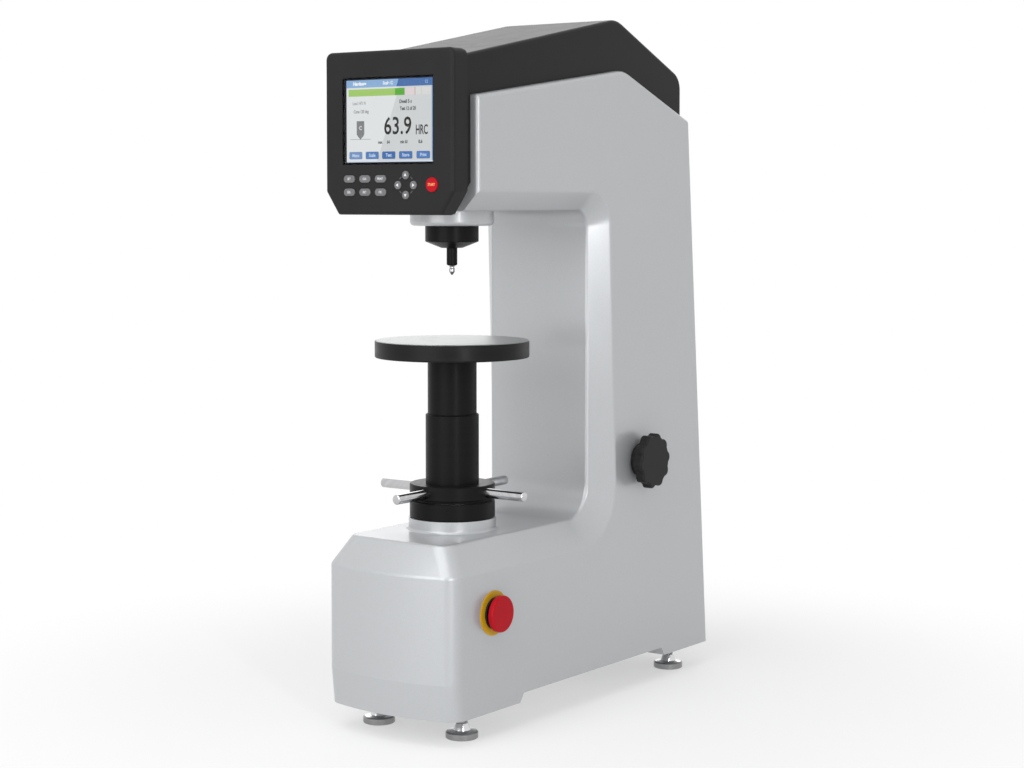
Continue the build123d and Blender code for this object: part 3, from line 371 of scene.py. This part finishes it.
def makeScreenLight(name, colour, strength):
    p = screenPixels
    material, tree, shader, position = startMaterial(
        name, Base_Color=(*p["dark"], 1), Roughness=p["roughness"], Specular_IOR_Level=p["specular"]
    )
    parts = addNode(tree, "ShaderNodeSeparateXYZ", Vector=position)
    dips = []
    for along in (parts.outputs[0], parts.outputs[2]):
        wave = mathNode(tree, "SINE", mathNode(tree, "MULTIPLY", along, 2 * math.pi / p["pitch"]))
        dips.append(mathNode(tree, "MULTIPLY", wave, p["dip"]))
    level = mathNode(tree, "ADD", mathNode(tree, "ADD", *dips), p["level"])
    lit = addNode(tree, "ShaderNodeVectorMath", {"operation": "SCALE"}, s0=colour, Scale=level)
    tree.links.new(lit.outputs[0], shader.inputs["Emission Color"])
    shader.inputs["Emission Strength"].default_value = strength
    return material


def screenColour(*rgb):
    # from the 0 to 255 values in which screens are drawn to linear light; none is under 11
    return tuple(((c / 255 + 0.055) / 1.055) ** 2.4 for c in rgb)


def dress(material, *names):
    for name in names:
        slots = nodes[name].data.materials
        slots.clear()
        slots.append(material)


def dressFrame():
    dress(makeSilverPaint(), "frame_casting", "rear_cover")
    dress(makeMoulded("blackPaint"), "top_cover")
    dress(makeMoulded("blackPlastic"), "display_housing", "display_back", "selector_knob", "estop_collar",
          "estop_plunger", "power_inlet", "switch_rocker")
    keys = [name for name in nodes if name.startswith("key_") and name != "key_board"]
    dress(makeMoulded("greyPlastic"), *keys)
    dress(makeMoulded("redPlastic"), "start_key", "estop_head")
    dress(makeMoulded("yellowPlastic"), "estop_ring")
    dress(makeMoulded("circuitBoard"), "key_board", "control_board")
    dress(makeMoulded("castIron"), "load_lever", "lever_bracket", "weights")
    dress(makeTwoFinished("groundSteel", "anvil", "anvil"), "anvil")
    dress(makeClearGlass(), "screen_glass")
    middle = middleOf("elevating_screw")
    dress(makeTurned("blackenedSteel", "blackenedSteel", middle), "screw_sleeve", "guard_tube",
          "handwheel_hub", "bearing_ring", "spindle_cap", "spindle")
    dress(makeTurned("steel", "steel", middle), "elevating_screw", "thrust_bearing", "guide_post")
    dress(makeTurned("bronze", "bronze", middle), "elevating_nut", "spindle_bush")
    dress(makeTurned("chrome", "chrome", middle), "handwheel_spokes")
    dress(makeTwoFinished("indenterSteel", "indenter", "indenter"), "indenter")
    dress(makeTurned("zincSteel", "zincSteel", middle), "bottom_plate", "hanger", "rear_cover_screws")
    dress(makeTurned("aluminium", "aluminium", middleOf("loading_motor")), "loading_motor", "depth_sensor",
          "power_supply")
    dress(makeTurned("machinedSteel", "steel", middleOf("load_cam")), "load_cam", "selector_shaft")
    for number in range(1, 5):
        pad, stud = f"foot_pad_{number}", f"foot_stud_{number}"
        dress(makeTwoFinished(f"darkSteel{number}", "foot", pad), pad)
        dress(makeTurned(f"studSteel{number}", "steel", middleOf(stud)), stud)


dressFrame()
print("finishes placed")


def meshPiece(name, mesh, material, body):
    mesh.materials.clear()
    mesh.materials.append(material)
    piece = bpy.data.objects.new(name, mesh)
    bpy.context.scene.collection.objects.link(piece)
    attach(piece, body)
    return piece


roundingSteps = 4


def plateMesh(name, corners, thickness, rounding=0.0):
    # a thin plate with its face towards -Y, at y = 0; corners are (x, z) pairs,
    # counter-clockwise as seen from the front
    build = bmesh.new()
    front = [build.verts.new((x, 0, z)) for x, z in corners]
    back = [build.verts.new((x, thickness, z)) for x, z in corners]
    build.faces.new(front)
    build.faces.new(back[::-1])
    for i in range(len(front)):
        j = (i + 1) % len(front)
        build.faces.new((front[j], front[i], back[i], back[j]))
    bmesh.ops.recalc_face_normals(build, faces=build.faces)
    if rounding:
        across = [e for e in build.edges if abs(e.verts[0].co.y - e.verts[1].co.y) > thickness / 2]
        bmesh.ops.bevel(build, geom=across, offset=rounding, segments=roundingSteps, affect="EDGES")
    mesh = bpy.data.meshes.new(name)
    build.to_mesh(mesh)
    build.free()
    return mesh


towardsFront = Matrix.Rotation(math.radians(90), 4, "X")
# capitalShare is a capital's height in shares of the font's size
lettering = {"capitalShare": 0.7, "halfThickness": 0.00001, "resolution": 3}


def textMesh(name, words, capital, widthScale, weight):
    # letters in the XY plane, facing +Z; capital is a capital's height, weight widens the strokes
    curve = bpy.data.curves.new(name, "FONT")
    curve.body = words
    curve.align_x, curve.align_y = "CENTER", "CENTER"
    curve.size = capital / lettering["capitalShare"]
    curve.offset = weight
    curve.extrude = lettering["halfThickness"]
    curve.resolution_u = lettering["resolution"]
    holder = bpy.data.objects.new(name, curve)
    bpy.context.scene.collection.objects.link(holder)
    evaluated = holder.evaluated_get(bpy.context.evaluated_depsgraph_get())
    mesh = bpy.data.meshes.new_from_object(evaluated)
    bpy.data.objects.remove(holder)
    mesh.transform(Matrix.Diagonal((widthScale, 1, 1, 1)))
    return mesh


screenPicture = {
    "size": (0.103, 0.0765),
    "border": (12, 22, 48),
    "borderLight": 1.0,
    "light": 0.95,
    "sheet": 0.00002,       # thickness of a coloured area
    "layer": 0.00004,       # step from one layer to the next, towards the glass
    "boxStep": 0.8,         # layers from one box to the next
    "wordLayer": 12,
    # boxes as left, top, right, bottom in shares of the screen, then the colour
    "boxes": [
        ("page", 0, 0, 1, 1, (213, 215, 216)),
        ("titleBar", 0, 0, 1, 0.092, (62, 108, 172)),
        ("rightEdge", 0.988, 0.092, 1, 1, (120, 160, 214)),
        ("bottomEdge", 0, 0.985, 1, 1, (216, 228, 244)),
        ("barBack", 0.025, 0.112, 0.975, 0.197, (222, 222, 220)),
        ("barDone", 0.025, 0.112, 0.57, 0.197, (164, 206, 104)),
        ("barNow", 0.57, 0.112, 0.682, 0.197, (88, 176, 46)),
        ("barLimit", 0.682, 0.112, 0.80, 0.197, (230, 214, 218)),
        ("barMark", 0.798, 0.106, 0.803, 0.203, (176, 128, 140)),
        ("barStep", 0.872, 0.112, 0.875, 0.197, (196, 194, 192)),
        ("surfaceLine", 0.047, 0.718, 0.286, 0.723, (140, 140, 142)),
    ],
    # other outlines: points in shares of the screen, layer, colour
    "shapes": [
        # the first two outlines are a painted reflection on the glass: one lighter diagonal band over the
        # left of the title bar and the page
        ("pageReflection", ((0, 0.092), (0.62, 0.092), (0.36, 0.985), (0, 0.985)), 1.4, (231, 233, 234)),
        ("titleReflection", ((0, 0), (0.61, 0), (0.585, 0.092), (0, 0.092)), 2.2, (140, 178, 222)),
        ("pointer", ((0.122, 0.498), (0.211, 0.498), (0.211, 0.660), (0.196, 0.690), (0.178, 0.706),
                     (0.167, 0.728), (0.155, 0.706), (0.138, 0.690), (0.122, 0.660)),
         10, (128, 129, 132)),
    ],
    "softKeys": {
        "top": 0.873,
        "bottom": 0.964,
        "width": 0.154,
        "rounding": 0.0006,
        "layer": 10,
        # capital height, width scale, weight, colour
        "wordStyle": (0.0030, 0.90, 0.00014, (196, 216, 240)),
        # word, left edge, colour
        # Menu and Scale lie under the painted reflection on the glass; their lighter blues are partly the
        # keys' own blue and partly painted reflection
        "keys": (("Menu", 0.033, (112, 146, 196)), ("Scale", 0.227, (80, 126, 188)),
                 ("Test", 0.420, (56, 106, 174)), ("Store", 0.616, (66, 114, 182)),
                 ("Print", 0.816, (70, 120, 188))),
    },
    # words, middle in shares of the screen, capital height in metres, width scale, weight, colour
    "words": [
        ("63.9", 0.602, 0.575, 0.0158, 0.86, 0.00028, (22, 22, 24)),
        ("HRC", 0.877, 0.622, 0.0086, 0.58, 0.00026, (36, 36, 40)),
        ("Load 1471 N", 0.153, 0.283, 0.0030, 0.70, 0.00010, (158, 160, 164)),
        ("Cone 120 deg", 0.176, 0.385, 0.0030, 0.74, 0.00012, (138, 140, 146)),
        ("Dwell 5 s", 0.693, 0.275, 0.0032, 0.84, 0.00016, (62, 64, 68)),
        ("Test 12 of 20", 0.720, 0.360, 0.0032, 0.76, 0.00016, (62, 64, 68)),
        ("max", 0.398, 0.761, 0.0026, 0.80, 0.00016, (64, 66, 70)),
        ("64", 0.493, 0.761, 0.0030, 0.80, 0.00016, (64, 66, 70)),
        ("min 63", 0.673, 0.761, 0.0028, 0.80, 0.00016, (64, 66, 70)),
        ("0.6", 0.862, 0.761, 0.0030, 0.90, 0.00018, (64, 66, 70)),
        ("C", 0.167, 0.585, 0.0034, 1.0, 0.0002, (220, 222, 224)),
        ("Hardness", 0.160, 0.046, 0.0031, 0.95, 0.00026, (244, 248, 252)),
        ("Scale C", 0.490, 0.046, 0.0029, 0.95, 0.00022, (236, 242, 250)),
        ("12", 0.93, 0.046, 0.0028, 1.0, 0.0001, (150, 186, 228)),
    ],
}


def drawScreen():
    p = screenPicture
    middle = middleOf("screen_glass")
    width, height = p["size"]
    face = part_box("lcd_module")[0].y
    dress(makeScreenLight("screenBorder", screenColour(*p["border"]), p["borderLight"]), "lcd_module")
    lit = {}

    def colourOf(rgb):
        if rgb not in lit:
            lit[rgb] = makeScreenLight(f"screenLight{len(lit) + 1}", screenColour(*rgb), p["light"])
        return lit[rgb]

    def spot(u, v):
        return middle.x + (u - 0.5) * width, middle.z + (0.5 - v) * height

    def addShape(name, points, layer, rgb, rounding=0.0):
        mesh = plateMesh(name, [spot(u, v) for u, v in points], p["sheet"], rounding)
        mesh.transform(Matrix.Translation((0, face - p["layer"] * layer, 0)))
        meshPiece(name, mesh, colourOf(rgb), "frame")

    def addBox(name, left, top, right, bottom, layer, rgb, rounding=0.0):
        addShape(name, ((left, top), (right, top), (right, bottom), (left, bottom)), layer, rgb, rounding)

    def addWords(name, words, u, v, capital, widthScale, weight, rgb):
        mesh = textMesh(name, words, capital, widthScale, weight)
        x, z = spot(u, v)
        mesh.transform(Matrix.Translation((x, face - p["layer"] * p["wordLayer"], z)) @ towardsFront)
        meshPiece(name, mesh, colourOf(rgb), "frame")

    for number, (name, *edges, rgb) in enumerate(p["boxes"]):
        addBox("screen_" + name, *edges, 1 + number * p["boxStep"], rgb)
    for name, points, layer, rgb in p["shapes"]:
        addShape("screen_" + name, points, layer, rgb)
    soft = p["softKeys"]
    for number, (word, left, rgb) in enumerate(soft["keys"], 1):
        addBox(f"screen_softKey{number}", left, soft["top"], left + soft["width"], soft["bottom"],
               soft["layer"], rgb, soft["rounding"])
        addWords(f"screen_softWord{number}", word, left + soft["width"] / 2,
                 (soft["top"] + soft["bottom"]) / 2, *soft["wordStyle"])
    for number, line in enumerate(p["words"], 1):
        addWords(f"screen_words{number}", *line)


drawScreen()
print("screen drawn")


keyMarks = {
    "words": {"key_1": "SET", "key_2": "CLR", "key_3": "PRINT", "key_4": "DEL", "key_5": "ESC",
              "key_6": "OK", "start_key": "START"},
    "arrows": {"key_right": 0, "key_up": 90, "key_left": 180, "key_down": 270},
    "height": 0.0021,
    "startHeight": 0.0024,
    "widthScale": 0.82,
    "weight": 0.00006,
    "arrowSize": 0.0019,
    "ringWidth": 0.0004,
    "ringGap": 0.0008,        # between the ring's arcs and the keys
    "colour": (0.62, 0.63, 0.65),
    "startColour": (0.80, 0.40, 0.16),
    "ringColour": (0.16, 0.16, 0.165),
    "thickness": 0.00003,
    "proud": 0.00003,
}
markInk = {"specular": 0.3, "grain": 0.0002, "cloudSize": 0.002, "shade": 0.08, "roughness": (0.45, 0.6),
           "depth": 0.000004}


def makeMarkInk(name, colour):
    p = markInk
    material, tree, shader, position = startMaterial(name, Specular_IOR_Level=p["specular"])
    grain = placeGroup(tree, surfaceGrain, vector=position, grainSize=p["grain"], cloudSize=p["cloudSize"])
    varyColour(tree, shader, colour, grain["cloud"], p["shade"])
    varyRoughness(tree, shader, *p["roughness"], grain["height"])
    addRelief(tree, shader, grain["height"], p["depth"])
    return material


def frontOf(name, proud):
    # moves a mark to the middle of the piece's front face
    middle = middleOf(name)
    return Matrix.Translation((middle.x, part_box(name)[0].y - proud, middle.z))


def arcCorners(radius, width, start, end, steps=10):
    # outline of a flat arc in the XZ plane, counter-clockwise from the front
    angles = [start + (end - start) * step / steps for step in range(steps + 1)]
    outer = [((radius + width / 2) * math.cos(a), (radius + width / 2) * math.sin(a)) for a in angles]
    inner = [((radius - width / 2) * math.cos(a), (radius - width / 2) * math.sin(a)) for a in angles]
    return outer + inner[::-1]


def markKeys():
    p = keyMarks
    ink = makeMarkInk("markInk", p["colour"])
    startInk = makeMarkInk("startInk", p["startColour"])
    for key, words in p["words"].items():
        isStart = key == "start_key"
        capital = p["startHeight"] if isStart else p["height"]
        mesh = textMesh(key + "_mark", words, capital, p["widthScale"], p["weight"])
        mesh.transform(frontOf(key, p["proud"]) @ towardsFront)
        meshPiece(key + "_mark", mesh, startInk if isStart else ink, key)
    for key, turn in p["arrows"].items():
        angles = [math.radians(turn + step) for step in (0, 120, 240)]
        corners = [(p["arrowSize"] * math.cos(angle), p["arrowSize"] * math.sin(angle)) for angle in angles]
        mesh = plateMesh(key + "_mark", corners, p["thickness"])
        mesh.transform(frontOf(key, p["proud"]))
        meshPiece(key + "_mark", mesh, ink, key)
    # four arcs of a printed ring that joins the arrow keys
    ringInk = makeMarkInk("ringInk", p["ringColour"])
    left, right = middleOf("key_left"), middleOf("key_right")
    radius = (right.x - left.x) / 2
    low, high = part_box("key_up")
    clear = 2 * math.asin(((high.x - low.x) / 2 + p["ringGap"]) / (2 * radius))
    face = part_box("display_housing")[0].y - p["proud"]
    for number in range(4):
        start = math.radians(90 * number) + clear
        corners = arcCorners(radius, p["ringWidth"], start, start + math.pi / 2 - 2 * clear)
        mesh = plateMesh(f"key_ring_{number + 1}", corners, p["thickness"])
        mesh.transform(Matrix.Translation(((left.x + right.x) / 2, face, (left.z + right.z) / 2)))
        meshPiece(f"key_ring_{number + 1}", mesh, ringInk, "frame")


markKeys()
print("keys marked")


switchMarks = {
    # letter, middle from the switch's axis as y and z, tilt of the rocker's facet in degrees
    "on": ("I", (0.001864, 0.004521), -12.09),
    "off": ("O", (0.001434, -0.004669), 6.34),
    "height": 0.0034,
    "widthScale": 0.9,
    "weight": 0.00008,
    "proud": 0.00003,
}


def markSwitch():
    p = switchMarks
    ink = bpy.data.materials["markInk"]
    axis = next(Vector(joint["pos_m"]) for joint in frame["joints"] if joint["name"] == "switch_rock")
    for name in ("on", "off"):
        letter, (y, z), degrees = p[name]
        tilt = math.radians(degrees)
        mesh = textMesh("switch_" + name, letter, p["height"], p["widthScale"], p["weight"])
        outward = Vector((0, math.cos(tilt), math.sin(tilt))) * p["proud"]
        place = Matrix.Translation(axis + Vector((0, y, z)) + outward) @ Matrix.Rotation(tilt, 4, "X")
        mesh.transform(place @ Matrix.Rotation(math.pi, 4, "Z") @ towardsFront)
        meshPiece("switch_" + name, mesh, ink, "power_switch")


markSwitch()
print("switch marked")


def geometryTree(name, sizes):
    tree = bpy.data.node_groups.new(name, "GeometryNodeTree")
    tree.interface.new_socket("Geometry", in_out="INPUT", socket_type="NodeSocketGeometry")
    for label, value in sizes.items():
        kind = "Int" if isinstance(value, int) else "Float"
        socket = tree.interface.new_socket(label, in_out="INPUT", socket_type="NodeSocket" + kind)
        socket.default_value = value
    tree.interface.new_socket("Geometry", in_out="OUTPUT", socket_type="NodeSocketGeometry")
    return tree, tree.nodes.new("NodeGroupInput").outputs, tree.nodes.new("NodeGroupOutput").inputs


def endTree(tree, geometry, out, material):
    smooth = addNode(tree, "GeometryNodeSetShadeSmooth", Geometry=geometry, Shade_Smooth=False)
    real = addNode(tree, "GeometryNodeRealizeInstances", Geometry=smooth.outputs[0])
    dressed = addNode(tree, "GeometryNodeSetMaterial", Geometry=real.outputs[0], Material=material)
    tree.links.new(dressed.outputs[0], out["Geometry"])


def growPiece(name, tree, sizes, place, material, body):
    # runs the tree, keeps the result as a plain mesh in its place and lets it ride on the body
    holder = bpy.data.objects.new(name, bpy.data.meshes.new(name + "_start"))
    bpy.context.scene.collection.objects.link(holder)
    modifier = holder.modifiers.new("grow", "NODES")
    modifier.node_group = tree
    for item in tree.interface.items_tree:
        if item.in_out == "INPUT" and item.name in sizes:
            modifier[item.identifier] = sizes[item.name]
    evaluated = holder.evaluated_get(bpy.context.evaluated_depsgraph_get())
    mesh = bpy.data.meshes.new_from_object(evaluated)
    bpy.data.objects.remove(holder)
    mesh.transform(place)
    return meshPiece(name, mesh, material, body)


studThread = {
    "sizes": {"pitch": 0.00125, "depth": 0.00055, "radius": 0.00498, "length": 0.0085, "stepsPerTurn": 48},
    "ridgeSides": 4,
    "above": 0.0003,        # clear of the pad
}


def buildThreadTree(material):
    # a ridge wound round the stud, upwards from the origin
    tree, given, out = geometryTree("helicalThread", studThread["sizes"])
    turns = mathNode(tree, "DIVIDE", given["length"], given["pitch"])
    helix = addNode(tree, "GeometryNodeCurveSpiral", Resolution=given["stepsPerTurn"], Rotations=turns,
                    Start_Radius=given["radius"], End_Radius=given["radius"], Height=given["length"])
    profile = addNode(tree, "GeometryNodeCurvePrimitiveCircle", Resolution=studThread["ridgeSides"],
                      Radius=given["depth"])
    ridge = addNode(tree, "GeometryNodeCurveToMesh", Curve=helix.outputs[0],
                    Profile_Curve=profile.outputs[0], Fill_Caps=True)
    endTree(tree, ridge.outputs[0], out, material)
    return tree


def addThreads():
    p = studThread
    for number in range(1, 5):
        stud = f"foot_stud_{number}"
        material = nodes[stud].data.materials[0]
        middle = middleOf(stud)
        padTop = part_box(f"foot_pad_{number}")[1].z
        place = Matrix.Translation((middle.x, middle.y, padTop + p["above"]))
        growPiece(f"stud_thread_{number}", buildThreadTree(material), p["sizes"], place, material, stud)


addThreads()
print("threads cut")


screwRows = {
    "head": {"headRadius": 0.0036, "headHeight": 0.0022, "shankRadius": 0.0019, "shankLength": 0.002,
             "socketRadius": 0.0017, "socketDepth": 0.0013},
    "rimShare": 0.5,        # of the head's height, up to where its dome starts
    "crownShare": 0.70,     # of the head's radius, at the top of its dome
    "shankReach": 1.2,      # of its length below the head, so that it goes into the head
    "sides": 28,
    "socketSides": 6,
    "rear": {"width": 0.1, "length": 0.39018, "columns": 2, "rows": 3},
    "rearLean": 4.338,
    "rearMiddle": (0.20777, 0.367576),      # y and z
    "bottom": {"width": 0.1106, "length": 0.1715, "columns": 2, "rows": 3},
}


def buildScrewTree(material):
    # pan heads with a hexagon socket on a grid of points, heads towards +Z
    p = screwRows
    tree, given, out = geometryTree("screwRows", p["rear"] | p["head"])

    def barrel(bottom, top, depth, lift, sides=p["sides"]):
        cone = addNode(tree, "GeometryNodeMeshCone", Vertices=sides, Radius_Top=top, Radius_Bottom=bottom,
                       Depth=depth)
        offset = addNode(tree, "ShaderNodeCombineXYZ", Z=lift)
        moved = addNode(tree, "GeometryNodeTransform", Geometry=cone.outputs[0],
                        Translation=offset.outputs[0])
        return moved.outputs[0]

    def join(*solids):
        node = addNode(tree, "GeometryNodeMeshBoolean", {"operation": "UNION", "solver": "EXACT"})
        for solid in solids:
            tree.links.new(solid, node.inputs["Mesh 2"])
        return node.outputs[0]

    rim = mathNode(tree, "MULTIPLY", given["headHeight"], p["rimShare"])
    crown = mathNode(tree, "MULTIPLY", given["headRadius"], p["crownShare"])
    root = mathNode(tree, "MULTIPLY", given["shankLength"], -1.0)
    reach = mathNode(tree, "MULTIPLY", given["shankLength"], p["shankReach"])
    socketFloor = mathNode(tree, "SUBTRACT", given["headHeight"], given["socketDepth"])
    shank = barrel(given["shankRadius"], given["shankRadius"], reach, root)
    head = barrel(given["headRadius"], given["headRadius"], rim, 0.0)
    dome = barrel(given["headRadius"], crown, rim, rim)
    socket = barrel(given["socketRadius"], given["socketRadius"], given["headHeight"], socketFloor,
                    p["socketSides"])
    screw = addNode(tree, "GeometryNodeMeshBoolean", {"operation": "DIFFERENCE", "solver": "EXACT"},
                    Mesh_1=join(shank, head, dome), Mesh_2=socket)
    grid = addNode(tree, "GeometryNodeMeshGrid", Size_X=given["width"], Size_Y=given["length"],
                   Vertices_X=given["columns"], Vertices_Y=given["rows"])
    placed = addNode(tree, "GeometryNodeInstanceOnPoints", Points=grid.outputs[0],
                     Instance=screw.outputs[0])
    endTree(tree, placed.outputs[0], out, material)
    return tree


def addScrews():
    p = screwRows
    material = nodes["rear_cover_screws"].data.materials[0]
    tree = buildScrewTree(material)
    middle = Matrix.Translation((middleOf("rear_cover_screws").x, *p["rearMiddle"]))
    lean = Matrix.Rotation(math.radians(p["rearLean"]), 4, "X")
    toRear = Matrix.Rotation(math.pi, 4, "Z") @ Matrix.Rotation(math.pi / 2, 4, "X")
    screws = growPiece("rear_screws", tree, p["rear"] | p["head"], middle @ lean @ toRear, material,
                       "frame")
    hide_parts("rear_cover_screws")
    low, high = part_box("bottom_plate")
    middle = Matrix.Translation(((low.x + high.x) / 2, (low.y + high.y) / 2, low.z))
    downwards = Matrix.Rotation(math.pi, 4, "X")
    growPiece("bottom_screws", tree, p["bottom"] | p["head"], middle @ downwards, material, "frame")


addScrews()
print("screws placed")


studio = {
    "floorSize": 9.0,
    "floorColour": (0.88, 0.88, 0.88),
    "floorRoughness": 0.9,
    "floorSpecular": 0.1,
    "shadowReach": (0.28, 0.75),       # where the shadow starts to fade, and where the floor is plain white
    "shadowVeil": 0.48,                # white laid over the shadow close to the object
    "worldLevel": 0.56,
    "lights": {
        # place, aimed at, size, power
        "keyLight": ((-0.1, -3.5, 1.2), (0, 0, 0.30), (2.4, 2.4), 48),
        "edgeLight": ((2.9, -2.05, 0.9), (0, 0, 0.35), (0.14, 2.4), 38),
        "backLight": ((-1.8, 2.4, 1.3), (0, 0, 0.45), (1.6, 1.2), 7),
        "topLight": ((0.2, -1.6, 3.0), (0, 0, 0.3), (2.6, 2.6), 37),
    },
}


def seenMask(tree):
    # 1 for rays from the camera, and for those in mirrors and glass
    path = tree.nodes.new("ShaderNodeLightPath").outputs
    mask = mathNode(tree, "MAXIMUM", path["Is Camera Ray"], path["Is Glossy Ray"])
    return mathNode(tree, "MAXIMUM", mask, path["Is Transmission Ray"])


def buildFloor():
    build = bmesh.new()
    bmesh.ops.create_grid(build, x_segments=1, y_segments=1, size=studio["floorSize"])
    mesh = bpy.data.meshes.new("studioFloor")
    build.to_mesh(mesh)
    build.free()
    floor = bpy.data.objects.new("studioFloor", mesh)
    bpy.context.scene.collection.objects.link(floor)
    material, tree, shader, position = startMaterial(
        "studioFloor", Base_Color=(*studio["floorColour"], 1), Roughness=studio["floorRoughness"],
        Specular_IOR_Level=studio["floorSpecular"]
    )
    away = addNode(tree, "ShaderNodeVectorMath", {"operation": "LENGTH"}, s0=position)
    near, far = studio["shadowReach"]
    fade = addNode(tree, "ShaderNodeMapRange", {"interpolation_type": "SMOOTHSTEP"},
                   Value=away.outputs["Value"], From_Min=near, From_Max=far, To_Min=studio["shadowVeil"])
    white = addNode(tree, "ShaderNodeEmission", Color=(1, 1, 1, 1), Strength=1.0)
    factor = mathNode(tree, "MULTIPLY", fade.outputs[0], seenMask(tree))
    mix = addNode(tree, "ShaderNodeMixShader", s0=factor, s1=shader.outputs[0], s2=white.outputs[0])
    tree.links.new(mix.outputs[0], tree.nodes["Material Output"].inputs["Surface"])
    mesh.materials.append(material)


def buildWorld():
    world = bpy.data.worlds.new("studio")
    bpy.context.scene.world = world
    world.use_nodes = True
    tree = world.node_tree
    tree.nodes.clear()
    seen = addNode(tree, "ShaderNodeBackground", Color=(1, 1, 1, 1), Strength=1.0)
    fill = addNode(tree, "ShaderNodeBackground", Color=(1, 1, 1, 1), Strength=studio["worldLevel"])
    mix = addNode(tree, "ShaderNodeMixShader", s0=seenMask(tree), s1=fill.outputs[0], s2=seen.outputs[0])
    end = tree.nodes.new("ShaderNodeOutputWorld")
    tree.links.new(mix.outputs[0], end.inputs["Surface"])


def buildLights():
    for name, (place, target, size, power) in studio["lights"].items():
        lamp = bpy.data.lights.new(name, "AREA")
        lamp.shape = "RECTANGLE"
        lamp.size, lamp.size_y = size
        lamp.energy = power
        holder = bpy.data.objects.new(name, lamp)
        holder.location = place
        holder.rotation_euler = (Vector(target) - Vector(place)).to_track_quat("-Z", "Y").to_euler()
        bpy.context.scene.collection.objects.link(holder)


camera = {
    "place": (1.2305, -1.7307, 0.5091),
    "pitchDown": 3.398,
    "turn": 35.916,
    "sensor": 36.0,
    "lens": 73.66,
    "shift": (0.0, -0.06),
}


def buildCamera():
    data = bpy.data.cameras.new("camera")
    data.sensor_width = camera["sensor"]
    data.lens = camera["lens"]
    data.shift_x, data.shift_y = camera["shift"]
    holder = bpy.data.objects.new("camera", data)
    holder.location = camera["place"]
    holder.rotation_euler = (math.radians(90 - camera["pitchDown"]), 0, math.radians(camera["turn"]))
    bpy.context.scene.collection.objects.link(holder)
    bpy.context.scene.camera = holder


buildFloor()
buildWorld()
buildLights()
buildCamera()
bpy.context.scene.view_settings.view_transform = "Standard"
print("studio set")
